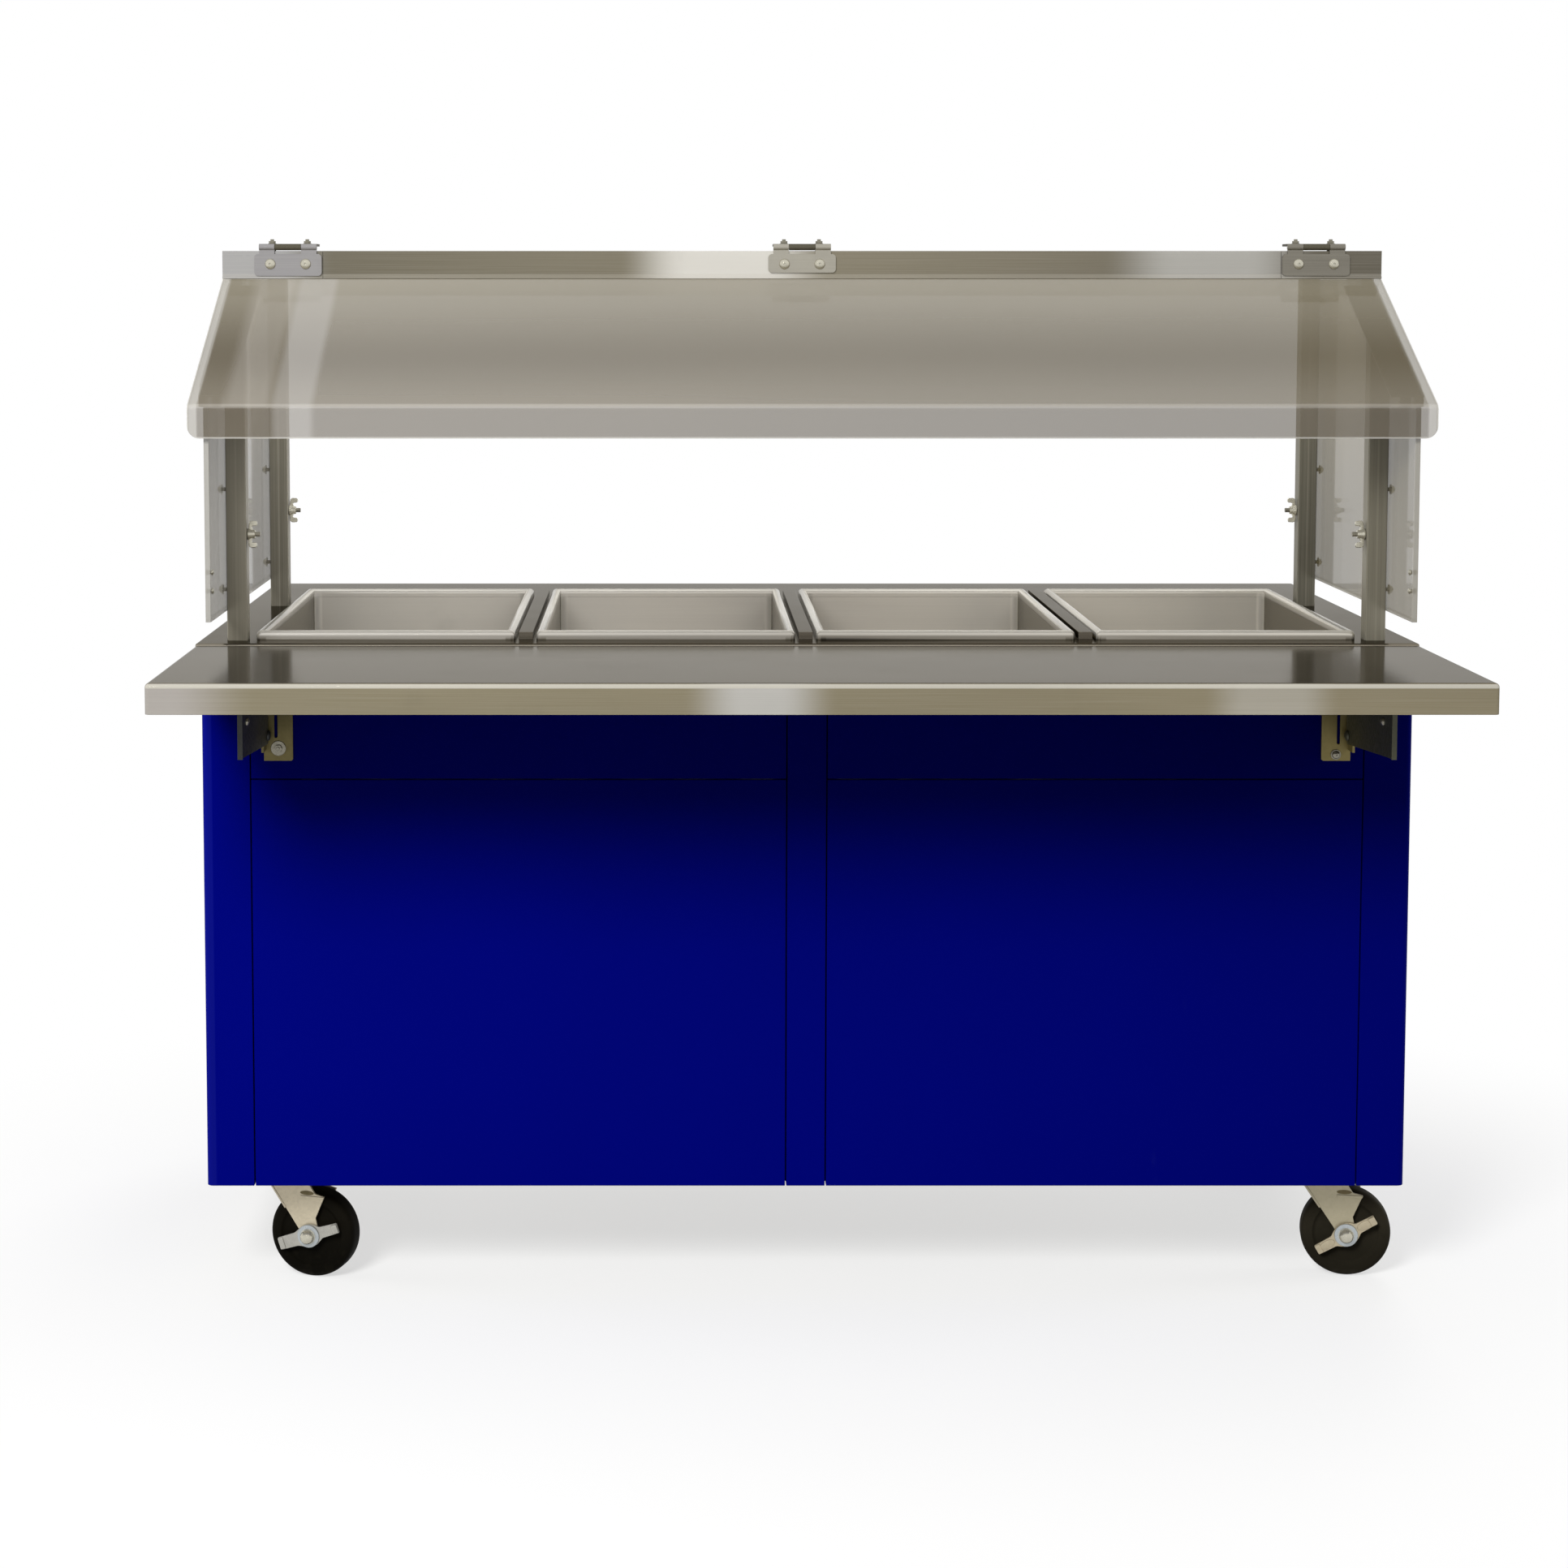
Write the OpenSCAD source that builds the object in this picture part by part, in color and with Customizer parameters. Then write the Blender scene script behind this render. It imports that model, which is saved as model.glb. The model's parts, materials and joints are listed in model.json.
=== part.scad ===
// Mobile hot food serving counter: a blue cabinet on casters, a stainless
// counter with four wells, a fold-down front shelf and a clear food guard.
// Millimetres, +Z up, front towards -Y, origin on the floor under the middle.

/* [Counter] */
// Width of the counter top and of the front shelf
counter_w = 1537; // [1500:1:1620]
// Depth of the counter top, front to back
counter_d = 762; // [730:1:840]
// Height of the counter surface above the floor
counter_h = 836; // [820:1:900]
// Thickness of the stainless sheet
sheet = 2; // [1.2:0.1:3]
// Height of the turned-down edges of counter and shelf
skirt_h = 36; // [28:1:44]
// Corner radius of counter and shelf in plan
corner_r = 5; // [3:0.5:10]

/* [Wells] */
// Distance from one well centre to the next
well_pitch = 355.6; // [350:0.1:358]
// Inside width of a well
well_w = 305; // [290:1:312]
// Inside length of a well, front to back
well_l = 508; // [480:1:530]
// Inside depth of a well below its rim
well_deep = 165; // [100:1:180]
// Vertical corner radius inside a well
well_r = 11; // [6:1:40]
// Width of the raised rim
rim_w = 12; // [8:0.5:14]
// Height of the flat base of the rim under its round bead
rim_base = 5; // [3:0.5:8]
// Distance from the counter's front edge to the rims
well_setback = 47; // [40:1:60]
// Gap between the bars and the rims on both sides of them
bar_gap = 4.3; // [2:0.1:8]
// Height of the bars between wells
bar_h = 9; // [4:0.5:12]
// Radius of the drain stub's bore
drain_r = 10; // [6:0.5:14]
// Wall of the drain stubs and pipes
pipe_wall = 3; // [2:0.5:5]
// Length of the drain outlet below the pipe
outlet_l = 70; // [40:1:90]
// Length of the valve handle
handle_l = 86; // [60:1:100]
// Width of the strip heaters
heater_w = 40; // [25:1:55]
// Thickness of the strip heaters
heater_t = 12; // [8:1:16]

/* [Cabinet] */
// Width of the cabinet
body_w = 1524; // [1480:1:1530]
// Depth of the cabinet
body_d = 735; // [700:1:740]
// Height of the cabinet's bottom edge
body_bottom = 141; // [136:1:146]
// Height of the seam between upper and lower front panels
seam_z = 664; // [560:1:680]
// Width of the visible gap between panels
seam_gap = 1.5; // [1:0.1:3]
// Width of the front corner stiles
stile_w = 60.5; // [45:0.5:80]
// Width of the rear corner stiles
rear_stile_w = 40; // [30:1:60]
// Width of the stile in the middle of the front
centre_w = 49; // [40:1:70]
// Depth of the folded edges of stiles and panels
fold_d = 20; // [14:1:26]
// Width of the ledge behind each stile
ledge_w = 16; // [10:1:24]
// Thickness of the ledges
ledge_t = 3; // [2:0.5:5]
// Height of the base rails
rail_tube_h = 26; // [20:1:40]
// Width of the base rails
rail_tube_w = 62; // [62:1:80]
// Thickness of the bottom deck
deck_t = 4; // [2:0.5:8]
// Height of the control panel
control_h = 144; // [130:1:170]

/* [Front shelf] */
// Depth of the front shelf
shelf_d = 356; // [320:1:380]
// Gap between shelf and counter
shelf_gap = 2; // [1.5:0.5:5]
// How far the shelf surface lies below the counter surface
shelf_drop = 2; // [0:0.5:4]
// Distance of the support arms from the centre, outer face
arm_web_x = 679.5; // [640:0.5:690]
// Thickness of the support arms
arm_web_t = 3; // [2:0.5:4]
// Length of the support arms
arm_web_l = 234; // [180:1:260]
// Width of the lip folded from the front end of the arms
arm_lip = 6; // [4:0.5:12]
// Height of the fold-down pivot
pivot_z = 722; // [710:1:724]
// Radius of the arm's rounded end around the pivot
pivot_boss = 11; // [9:0.5:11]
// Radius of the pivot pins
pivot_r = 4; // [3:0.5:5]
// Width of the wall bracket
bracket_w = 33; // [30:1:50]
// Height of the wall bracket's lower edge
bracket_z = 688; // [684:1:692]
// Width of the bracket's slot
slot_w = 4; // [3:0.5:8]

/* [Guard frame] */
// Side of the square posts
post_s = 25.4; // [22:0.1:32]
// Wall of the posts
post_wall = 2; // [1.5:0.1:3]
// Distance of the posts from the centre
post_x = 720; // [716:1:724]
// Distance from the counter's front edge to the front posts
post_setback = 47; // [38:1:60]
// Distance from front posts to rear posts
post_span = 408; // [360:1:440]
// Thickness of the end panels
end_t = 6; // [4:0.5:7]
// Gap between the end panels and the side arms
arm_gap = 9.3; // [7:0.1:11]
// Height of the end panels' lower edge
end_bottom = 874; // [860:1:890]
// How far the end panels reach in front of the front posts
end_front = 145; // [120:1:150]
// Depth of the top pan, front to back
pan_d = 287; // [287:1:320]
// How far the top pan reaches past the side arms
pan_over = 7; // [5:0.5:8]
// Height of the wing nuts
wing_z = 970; // [940:1:1000]
// Length of the wing nut's stud
stud_l = 16; // [13:0.5:20]
// Radius of the wing nut's stud
stud_r = 3; // [2.5:0.5:4]

/* [Food guard] */
// Height of the guard's top
guard_top = 1329; // [1300:1:1380]
// Height of the front rail
rail_h = 36; // [32:1:44]
// Distance from the counter's front edge to the rail's face
rail_back = 192; // [180:1:200]
// Thickness of the clear panel
panel_t = 5; // [4:0.5:6]
// How far the panel reaches in front of the rail
reach = 300; // [260:1:310]
// How far the panel drops from the rail to its bend
drop = 154.5; // [140:0.5:165]
// Height of the panel's vertical lip
lip_h = 39.5; // [30:0.5:60]
// Corner radius of the lip
lip_r = 15; // [5:1:25]
// Distance of the outer hinges from the centre
hinge_x = 671; // [600:1:680]
// Width of a hinge's front leaf
leaf_w = 88; // [80:1:110]
// Height of the middle hinge's front leaf
leaf_h = 24.3; // [20:0.1:26]
// Height of the outer hinges' front leaves
leaf_h_end = 28.5; // [20:0.5:30]
// Thickness of the hinge leaves
leaf_t = 3; // [2:0.5:4]
// Radius of the hinge pins
pin_r = 2; // [1.5:0.1:2.4]
// Radius of the hinge knuckles
knuckle_r = 4.2; // [3.8:0.1:4.4]
// Distance between the two screws of a leaf
screw_pitch = 46; // [40:1:52]

/* [Casters] */
// Diameter of the caster wheels
wheel_dia = 115; // [110:1:122]
// Width of the caster wheels
wheel_w = 32; // [26:1:36]
// Height of a caster from floor to mounting face
caster_h = 155; // [153:1:162]
// Distance of the caster swivels from the cabinet's ends
caster_end = 92; // [90:1:120]
// Distance of the swivels from the cabinet's front and rear faces
caster_in = 90; // [60:1:110]
// Trail of the axle behind the swivel
trail = 38; // [30:1:42]
// Turn of the left front caster at rest in degrees
turn_l = -16; // [-40:1:40]
// Turn of the right front caster at rest in degrees
turn_r = -9; // [-40:1:40]
// Thickness of the fork legs
fork_t = 3; // [2.5:0.5:4]
// Radius of the wheel axles
axle_r = 4; // [3:0.5:5]
// Radius of the swivel's king pin
king_r = 6; // [5:0.5:8]
// Length of the brake lever
lever_l = 86; // [70:1:96]
// Width of the brake lever
lever_w = 15; // [12:1:18]
// Tilt of the left brake lever in degrees
lever_tilt_l = 19; // [0:1:30]
// Tilt of the right brake lever in degrees
lever_tilt_r = 31; // [0:1:35]

/* [Controls] */
// Radius of the control knobs
knob_r = 19; // [14:1:24]
// Depth of the control knobs
knob_d = 16; // [12:1:20]
// Radius of the knob shafts
shaft_r = 3; // [2:0.5:4]
// Radius of the pilot lights
pilot_r = 6; // [4:0.5:9]
// Width of the power switch's rocker
rocker_w = 19; // [14:1:26]
// Height of the cord gland above the control panel's lower edge
gland_up = 32; // [24:1:36]
// Distance of the cord gland from the control panel's end
gland_in = 39; // [30:1:60]

/* [Fits] */
// Radial clearance of turning pins and shafts
run_fit = 0.05; // [0.02:0.01:0.1]
// Gap between faces that move past each other
side_gap = 0.4; // [0.3:0.1:0.8]

/* [Hidden] */
$fn = 48;
STEEL = [0.72, 0.71, 0.67];
DARK = [0.42, 0.40, 0.36];
BLUE = [0, 0, 0.45];
CLEAR = [0.86, 0.84, 0.78, 0.45];
ZINC = [0.80, 0.79, 0.72];
BLACK = [0.08, 0.08, 0.08];

// Plan of counter and cabinet
front_y = (shelf_d + shelf_gap - counter_d) / 2;
rear_y = front_y + counter_d;
top_under = counter_h - sheet;
body_y0 = front_y + sheet;
body_y1 = body_y0 + body_d;
body_x = body_w / 2;
in_y0 = body_y0 + fold_d;
in_y1 = body_y1 - fold_d;
side_y0 = in_y0 + ledge_t;
side_y1 = in_y1 - ledge_t;
base_z = caster_h;
deck_z = base_z + rail_tube_h;
control_z = top_under - control_h;
// Wells
rim_y0 = front_y + well_setback;
rim_l = well_l + 2 * rim_w;
rim_full_w = well_w + 2 * rim_w;
well_cy = rim_y0 + rim_l / 2;
bead_r = rim_w / 2;
rim_top = counter_h + rim_base + bead_r;
well_floor = rim_top - well_deep;
well_under = well_floor - sheet;
cut_gap = 5;
bar_w = well_pitch - rim_full_w - 2 * bar_gap;
stub_r = drain_r + pipe_wall;
stub_l = 28;
socket_r = stub_r + run_fit + pipe_wall;
pipe_z = well_under - stub_l - stub_r;
pipe_x = 1.8 * well_pitch;
valve_y = in_y1 - 55;
valve_r = stub_r + 7;
boss_r = shaft_r + 5;
boss_top = stub_r + 12;
// Front shelf and its pivot
shelf_top = counter_h - shelf_drop;
shelf_bottom = shelf_top - skirt_h;
shelf_y1 = front_y - shelf_gap;
shelf_y0 = shelf_y1 - shelf_d;
weld_gap = 0.2;
seat = 0.1;
bracket_t = 3;
bracket_face = body_y0 - bracket_t;
pivot_y = bracket_face - 1 - pivot_boss;
bracket_top = shelf_bottom - 3;
leg_x = arm_web_x + side_gap;
bolt_x = (arm_web_x - bracket_w + leg_x + bracket_t) / 2;
slot_x = bolt_x + 3;
bolt_z2 = bracket_top - 18;
// Side, lower bolt's height and washer radius of each wall bracket
bracket_rows = [[-1, bracket_z + 16, 9.5], [1, bracket_z + 8, 6.5]];
web_lift = 18;
pivot_head = 4;
web_bolt = [pivot_y - arm_web_l * 0.77, pivot_z + 0.58 * (shelf_bottom - pivot_z)];
// Guard frame
post_y0 = front_y + post_setback;
post_y1 = post_y0 + post_span;
post_out = post_x + post_s / 2;
post_in = post_x - post_s / 2;
end_x = post_out + end_t;
arm_x = end_x + arm_gap;
arm_t = sheet;
guard_x = arm_x + arm_t + pan_over;
rail_y = front_y + rail_back;
rail_bot = guard_top - rail_h;
rail_t = sheet;
glass_y = rail_y + rail_t;
glass_back = glass_y + panel_t;
pan_y0 = glass_back + 1;
pan_y1 = pan_y0 + pan_d;
lip_y = rail_y - reach;
bend_z = rail_bot - drop;
slope = drop / (glass_y - lip_y);
slope_cos = 1 / sqrt(1 + slope * slope);
flange_gap = 0.3;
// Height of the panel's underside at a given depth, and of the arm below it
function under_z(y) = bend_z + (y - lip_y) * slope - panel_t / slope_cos;
function arm_z(y) = under_z(y) - flange_gap;
function arm_low(y) = arm_z(y) - arm_t / slope_cos;
arm_cut = under_z(lip_y + 52);
arm_y0 = lip_y + 34;
arm_y1 = rail_y - 4;
arm_wide = 128;
// Hinge axis of the guard
axis_y = rail_y - leaf_t / 2;
axis_z = guard_top + knuckle_r + 0.8;
// Lowest height that the panel's rear corner reaches as the guard turns
sweep_low = axis_z - norm([glass_back - axis_y, axis_z - under_z(glass_back)]);
fixed_top = sweep_low - 1;
leaf_bot = rail_bot + 7.7;
leaf_top = leaf_bot + leaf_h;
leaf_bot_end = rail_bot + 3.5;
hem_h = 6;
hem_h_end = 3;
knuckle_mid = 17;
knuckle_end = 37.5;
leaf_under = axis_z + knuckle_r - leaf_t;
leaf_d = 34;
bolt_y = pan_y0 + 10;
screw_z = (leaf_bot + leaf_top) / 2 - 0.9;
screw_r = 2.5;
head_r = 5.4;
dome_r = 7;
dome_h = 4;
hinges = [-hinge_x, 0, hinge_x];
cap_x = 626;
// Casters
wheel_r = wheel_dia / 2;
caster_x = body_x - caster_end;
crown_top = caster_h - 10;
crown_bot = crown_top - 6;
crown_r = 30;
eye_r = 13;
leg_y = wheel_w / 2 + 2.5;
leg_out = leg_y + fork_t;
nut_gap = 0.5;
caster_y = [body_y0 + caster_in, body_y1 - caster_in];
swivels = [[-caster_x, caster_y[0], turn_l], [caster_x, caster_y[0], turn_r],
    [-caster_x, caster_y[1], 0], [caster_x, caster_y[1], 0]];
// Outline of a fork leg from its crown down to the axle
leg_pts = [[-crown_r, crown_top - 2], [crown_r - 3, crown_top - 2],
    [trail + 2, wheel_r + 64], [trail + 8, wheel_r + 55], [trail + 21, wheel_r + 52],
    [trail + 8.5, wheel_r + 23], [trail + eye_r - 2, wheel_r + 12],
    [trail + eye_r, wheel_r], [trail - eye_r, wheel_r], [trail - eye_r, wheel_r + 4]];
// Controls on the rear
panel_in = body_y1 - sheet;
control_mid = control_z + 0.52 * control_h;
wells_x = [-1.5, -0.5, 0.5, 1.5];
pilot_dx = knob_r + 26;
rocker_y = panel_in - 4;
rocker_h = 11;
rocker_hole = 17;
inlet_x = body_x - rear_stile_w - ledge_w - gland_in;
gland_z = control_z + gland_up;
gland_r = 10;
cord_r = 5;

// Box between two corners
module box(x0, x1, y0, y1, z0, z1) {
    translate([x0, y0, z0]) cube([x1 - x0, y1 - y0, z1 - z0]);
}
// Round bars along each axis
module rod_x(r, x0, x1, y, z) {
    translate([x0, y, z]) rotate([0, 90, 0]) cylinder(r = r, h = x1 - x0);
}
module rod_y(r, y0, y1, x, z) {
    translate([x, y0, z]) rotate([-90, 0, 0]) cylinder(r = r, h = y1 - y0);
}
module rod_z(r, z0, z1, x, y) {
    translate([x, y, z0]) cylinder(r = r, h = z1 - z0);
}
// Outline in depth and height, extruded across
module slab_x(x0, x1, pts) {
    translate([x0, 0, 0]) rotate([90, 0, 90]) linear_extrude(x1 - x0) polygon(pts);
}
// Outline in width and height, extruded in depth
module slab_y(y0, y1, pts) {
    translate([0, y1, 0]) rotate([90, 0, 0]) linear_extrude(y1 - y0) polygon(pts);
}
// Rectangle with round corners between two corners of a plan
module round_plan(x0, x1, y0, y1, r) {
    translate([x0 + r, y0]) square([x1 - x0 - 2 * r, y1 - y0]);
    translate([x0, y0 + r]) square([x1 - x0, y1 - y0 - 2 * r]);
    for (x = [x0 + r, x1 - r], y = [y0 + r, y1 - r]) translate([x, y]) circle(r = r);
}
module round_slab(x0, x1, y0, y1, r, z0, z1) {
    translate([0, 0, z0]) linear_extrude(z1 - z0) round_plan(x0, x1, y0, y1, r);
}
// Left and right copies of a piece drawn on the right
module both() {
    children();
    mirror([1, 0, 0]) children();
}
// Tray turned upside down: a sheet with edges folded down all round
module tray(x0, x1, y0, y1, r, z0, z1, t) {
    difference() {
        round_slab(x0, x1, y0, y1, r, z0, z1);
        round_slab(x0 + t, x1 - t, y0 + t, y1 - t, max(r - t, 0.5), z0 - 1, z1 - t);
    }
}

// Counter
module counter_top() {
    half = counter_w / 2;
    color(STEEL) difference() {
        union() {
            tray(-half, half, front_y, rear_y, corner_r, counter_h - skirt_h,
                counter_h, sheet);
            for (k = [-1, 0, 1])
                box(k * well_pitch - bar_w / 2, k * well_pitch + bar_w / 2, rim_y0 + 4,
                    rim_y0 + rim_l - 4, top_under, counter_h + bar_h);
        }
        for (k = wells_x) translate([k * well_pitch, 0, 0])
            box(-well_w / 2 - sheet - cut_gap, well_w / 2 + sheet + cut_gap,
                rim_y0 + rim_w - sheet - cut_gap,
                rim_y0 + rim_w + well_l + sheet + cut_gap, counter_h - 5, counter_h + 1);
    }
}
// Plan of a well's tub, grown by a margin
module well_cut(cx, grow, z0, z1) {
    round_slab(cx - well_w / 2 - grow, cx + well_w / 2 + grow,
        rim_y0 + rim_w - grow, rim_y0 + rim_w + well_l + grow, well_r + grow, z0, z1);
}
// Round bead along the rim's centre line
module bead(cx) {
    x0 = cx - rim_full_w / 2 + bead_r;
    x1 = cx + rim_full_w / 2 - bead_r;
    y0 = rim_y0 + bead_r;
    y1 = rim_y0 + rim_l - bead_r;
    z = rim_top - bead_r;
    for (y = [y0, y1]) rod_x(bead_r, x0, x1, y, z);
    for (x = [x0, x1]) rod_y(bead_r, y0, y1, x, z);
    for (x = [x0, x1], y = [y0, y1]) translate([x, y, z]) sphere(r = bead_r);
}
// Well: a beaded rim, a wrapper of four walls and a bottom with its drain stub
module well(k) {
    cx = k * well_pitch;
    color(STEEL) {
        difference() {
            union() {
                difference() {
                    bead(cx);
                    box(cx - rim_full_w, cx + rim_full_w, rim_y0 - 1,
                        rim_y0 + rim_l + 1, counter_h - 10, counter_h);
                }
                round_slab(cx - rim_full_w / 2, cx + rim_full_w / 2, rim_y0,
                    rim_y0 + rim_l, bead_r, counter_h, rim_top - bead_r);
            }
            well_cut(cx, 0, counter_h - 1, rim_top + 1);
        }
        difference() {
            well_cut(cx, sheet, well_floor + weld_gap, counter_h - weld_gap);
            well_cut(cx, 0, well_floor, counter_h);
        }
        difference() {
            union() {
                well_cut(cx, sheet, well_under, well_floor);
                rod_z(stub_r, well_under - stub_l, well_under + 1, cx, well_cy);
            }
            rod_z(drain_r, well_under - stub_l - 1, rim_top, cx, well_cy);
        }
    }
}
module well_1() { well(wells_x[0]); }
module well_2() { well(wells_x[1]); }
module well_3() { well(wells_x[2]); }
module well_4() { well(wells_x[3]); }

// Flat heaters under the wells
module strip_heaters() {
    color(DARK) for (k = wells_x, s = [-1, 1])
        translate([k * well_pitch + s * well_w / 4 - heater_w / 2,
            well_cy - 0.4 * well_l, well_under - heater_t])
            cube([heater_w, 0.8 * well_l, heater_t]);
}

// Drain pipe that joins the four stubs, with a valve at the rear
module drain_manifold() {
    z0 = pipe_z;
    color("peru") difference() {
        union() {
            rod_x(stub_r, wells_x[0] * well_pitch - 25, pipe_x + stub_r, well_cy, z0);
            rod_y(stub_r, well_cy, valve_y, pipe_x, z0);
            for (k = wells_x)
                rod_z(socket_r, z0, well_under - 8, k * well_pitch, well_cy);
            rod_y(valve_r, valve_y - 32, valve_y + valve_r + 2, pipe_x, z0);
            rod_z(stub_r, z0 - outlet_l, z0, pipe_x, valve_y);
            rod_z(boss_r, z0, z0 + boss_top, pipe_x, valve_y - 10);
        }
        rod_x(drain_r, wells_x[0] * well_pitch - 15, pipe_x, well_cy, z0);
        rod_y(drain_r, well_cy, valve_y, pipe_x, z0);
        for (k = wells_x) {
            rod_z(stub_r + run_fit, z0 + stub_r, well_under, k * well_pitch, well_cy);
            rod_z(drain_r, z0, well_under, k * well_pitch, well_cy);
        }
        rod_z(drain_r, z0 - outlet_l - 1, z0, pipe_x, valve_y);
        rod_z(shaft_r + run_fit, z0 + stub_r - 4, z0 + boss_top + 1, pipe_x,
            valve_y - 10);
    }
}
module drain_handle() {
    top = pipe_z + boss_top + side_gap;
    color("firebrick") {
        rod_z(shaft_r, pipe_z + stub_r - 3.5, top + 2, pipe_x, valve_y - 10);
        box(pipe_x - handle_l, pipe_x, valve_y - 16, valve_y - 4, top, top + 4);
        rod_z(boss_r, top, top + 6, pipe_x, valve_y - 10);
        rod_z(6, top, top + 4, pipe_x - handle_l, valve_y - 10);
    }
}

// Base
module base_rails() {
    x1 = body_x - sheet;
    w = rail_tube_w / 2;
    color(DARK) {
        for (y = caster_y) difference() {
            box(-x1, x1, max(y - w, side_y0 + sheet + 0.5), min(y + w, side_y1 - sheet - 0.5),
                base_z, deck_z);
            box(-x1 - 1, x1 + 1, max(y - w, side_y0 + sheet + 0.5) + 3,
                min(y + w, side_y1 - sheet - 0.5) - 3, base_z + 3, deck_z - 3);
        }
        both() difference() {
            box(caster_x - w, caster_x + w, caster_y[0] + w + weld_gap,
                caster_y[1] - w - weld_gap, base_z, deck_z);
            box(caster_x - w + 3, caster_x + w - 3, caster_y[0], caster_y[1],
                base_z + 3, deck_z - 3);
        }
    }
}
module base_deck() {
    x1 = body_x - sheet;
    color(STEEL) box(-x1, x1, side_y0 + sheet, side_y1 - sheet, deck_z, deck_z + deck_t);
}
module side_panels() {
    lip = fold_d;
    color(BLUE) both() translate([0, 0, body_bottom])
        linear_extrude(top_under - body_bottom) difference() {
            translate([body_x - lip, side_y0]) square([lip, side_y1 - side_y0]);
            translate([body_x - lip - 1, side_y0 + sheet])
                square([lip + 1 - sheet, side_y1 - side_y0 - 2 * sheet]);
        }
}
// Folded stile with a ledge for its neighbours; dir is 1 at the front
module stile(x0, x1, l0, l1, face, dir) {
    a = face;
    b = face + dir * fold_d;
    c = b + dir * ledge_t;
    box(x0, x1, min(a, b), max(a, b), body_bottom, top_under);
    box(l0, l1, min(b, c), max(b, c), body_bottom, top_under);
}
module corner_stiles() {
    color(BLUE) both() stile(body_x - stile_w, body_x,
        body_x - stile_w - ledge_w, body_x, body_y0, 1);
}
module rear_stiles() {
    color(BLUE) both() stile(body_x - rear_stile_w, body_x,
        body_x - rear_stile_w - ledge_w, body_x, body_y1, -1);
}
module centre_stile() {
    c = centre_w / 2;
    color(BLUE) stile(-c, c, -c - ledge_w, c + ledge_w, body_y0, 1);
}
// Front panel: a sheet with its four edges folded back
module front_panel(z0, z1) {
    x0 = centre_w / 2 + seam_gap;
    x1 = body_x - stile_w - seam_gap;
    difference() {
        box(x0, x1, body_y0, in_y0, z0, z1);
        box(x0 + sheet, x1 - sheet, body_y0 + sheet, in_y0 + 1, z0 + sheet, z1 - sheet);
    }
}
module upper_panels() {
    color(BLUE) both() front_panel(seam_z + seam_gap / 2, top_under);
}
module lower_panels() {
    color(BLUE) both() front_panel(body_bottom, seam_z - seam_gap / 2);
}

// Rear controls
module control_panel() {
    x1 = body_x - rear_stile_w - seam_gap;
    color(STEEL) difference() {
        union() {
            difference() {
                box(-x1, x1, in_y1, body_y1, control_z, top_under);
                box(-x1 + sheet, x1 - sheet, in_y1 - 1, panel_in,
                    control_z + sheet, top_under - sheet);
            }
            box(-rocker_w / 2 - 6, rocker_w / 2 + 6, body_y1 - 1, body_y1 + 4,
                control_mid - rocker_hole - 5, control_mid + rocker_hole + 5);
            both() box(rocker_w / 2 + side_gap, rocker_w / 2 + 3.5, rocker_y - 5,
                panel_in + 1, control_mid - 5, control_mid + 5);
        }
        box(-rocker_w / 2 - side_gap, rocker_w / 2 + side_gap, panel_in - 1,
            body_y1 + 5, control_mid - rocker_hole, control_mid + rocker_hole);
        rod_x(1.5 + run_fit, -rocker_w, rocker_w, rocker_y, control_mid);
        for (k = wells_x) {
            rod_y(shaft_r + run_fit, panel_in - 1, body_y1 + 1, k * well_pitch,
                control_mid);
            rod_y(pilot_r - 1 + run_fit, panel_in - 1, body_y1 + 1,
                k * well_pitch + pilot_dx, control_mid);
        }
        rod_y(gland_r + run_fit, panel_in - 1, body_y1 + 1, inlet_x, gland_z);
    }
}
module pilot_lights() {
    color("orangered") for (k = wells_x) {
        rod_y(pilot_r - 1, panel_in - 8, body_y1, k * well_pitch + pilot_dx, control_mid);
        rod_y(pilot_r, body_y1, body_y1 + 3, k * well_pitch + pilot_dx, control_mid);
        rod_y(pilot_r - 1, body_y1 + 3, body_y1 + 5, k * well_pitch + pilot_dx,
            control_mid);
    }
}
module power_inlet() {
    color(BLACK) difference() {
        union() {
            rod_y(gland_r, panel_in - 10, body_y1 + 1, inlet_x, gland_z);
            rod_y(gland_r + 4, body_y1, body_y1 + 8, inlet_x, gland_z);
            rod_y(gland_r, body_y1 + 8, body_y1 + 18, inlet_x, gland_z);
            rod_y(gland_r + 5, panel_in - 6, panel_in, inlet_x, gland_z);
        }
        rod_y(cord_r, panel_in - 11, body_y1 + 20, inlet_x, gland_z);
    }
}
module control_knob(k) {
    cx = k * well_pitch;
    y0 = body_y1 + side_gap;
    color(BLACK) {
        rod_y(knob_r, y0, y0 + knob_d * 0.45, cx, control_mid);
        rod_y(knob_r - 3, y0, y0 + knob_d * 0.55, cx, control_mid);
        box(cx - 4, cx + 4, y0, y0 + knob_d, control_mid - knob_r + 1,
            control_mid + knob_r - 1);
        rod_y(shaft_r, panel_in - 6, y0 + 1, cx, control_mid);
        rod_y(shaft_r + 3, panel_in - 5, panel_in - side_gap, cx, control_mid);
    }
}
module control_knob_1() { control_knob(wells_x[0]); }
module control_knob_2() { control_knob(wells_x[1]); }
module control_knob_3() { control_knob(wells_x[2]); }
module control_knob_4() { control_knob(wells_x[3]); }
module power_switch() {
    w = rocker_w / 2;
    color("darkred") translate([0, rocker_y, control_mid]) rotate([8, 0, 0]) {
        slab_x(-w, w, [[-5, -7], [-5, 7], [10, rocker_h], [12, rocker_h], [9, 0],
            [12, -rocker_h], [10, -rocker_h]]);
        rod_x(1.5, -w - 3.5, w + 3.5, 0, 0);
    }
}

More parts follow.
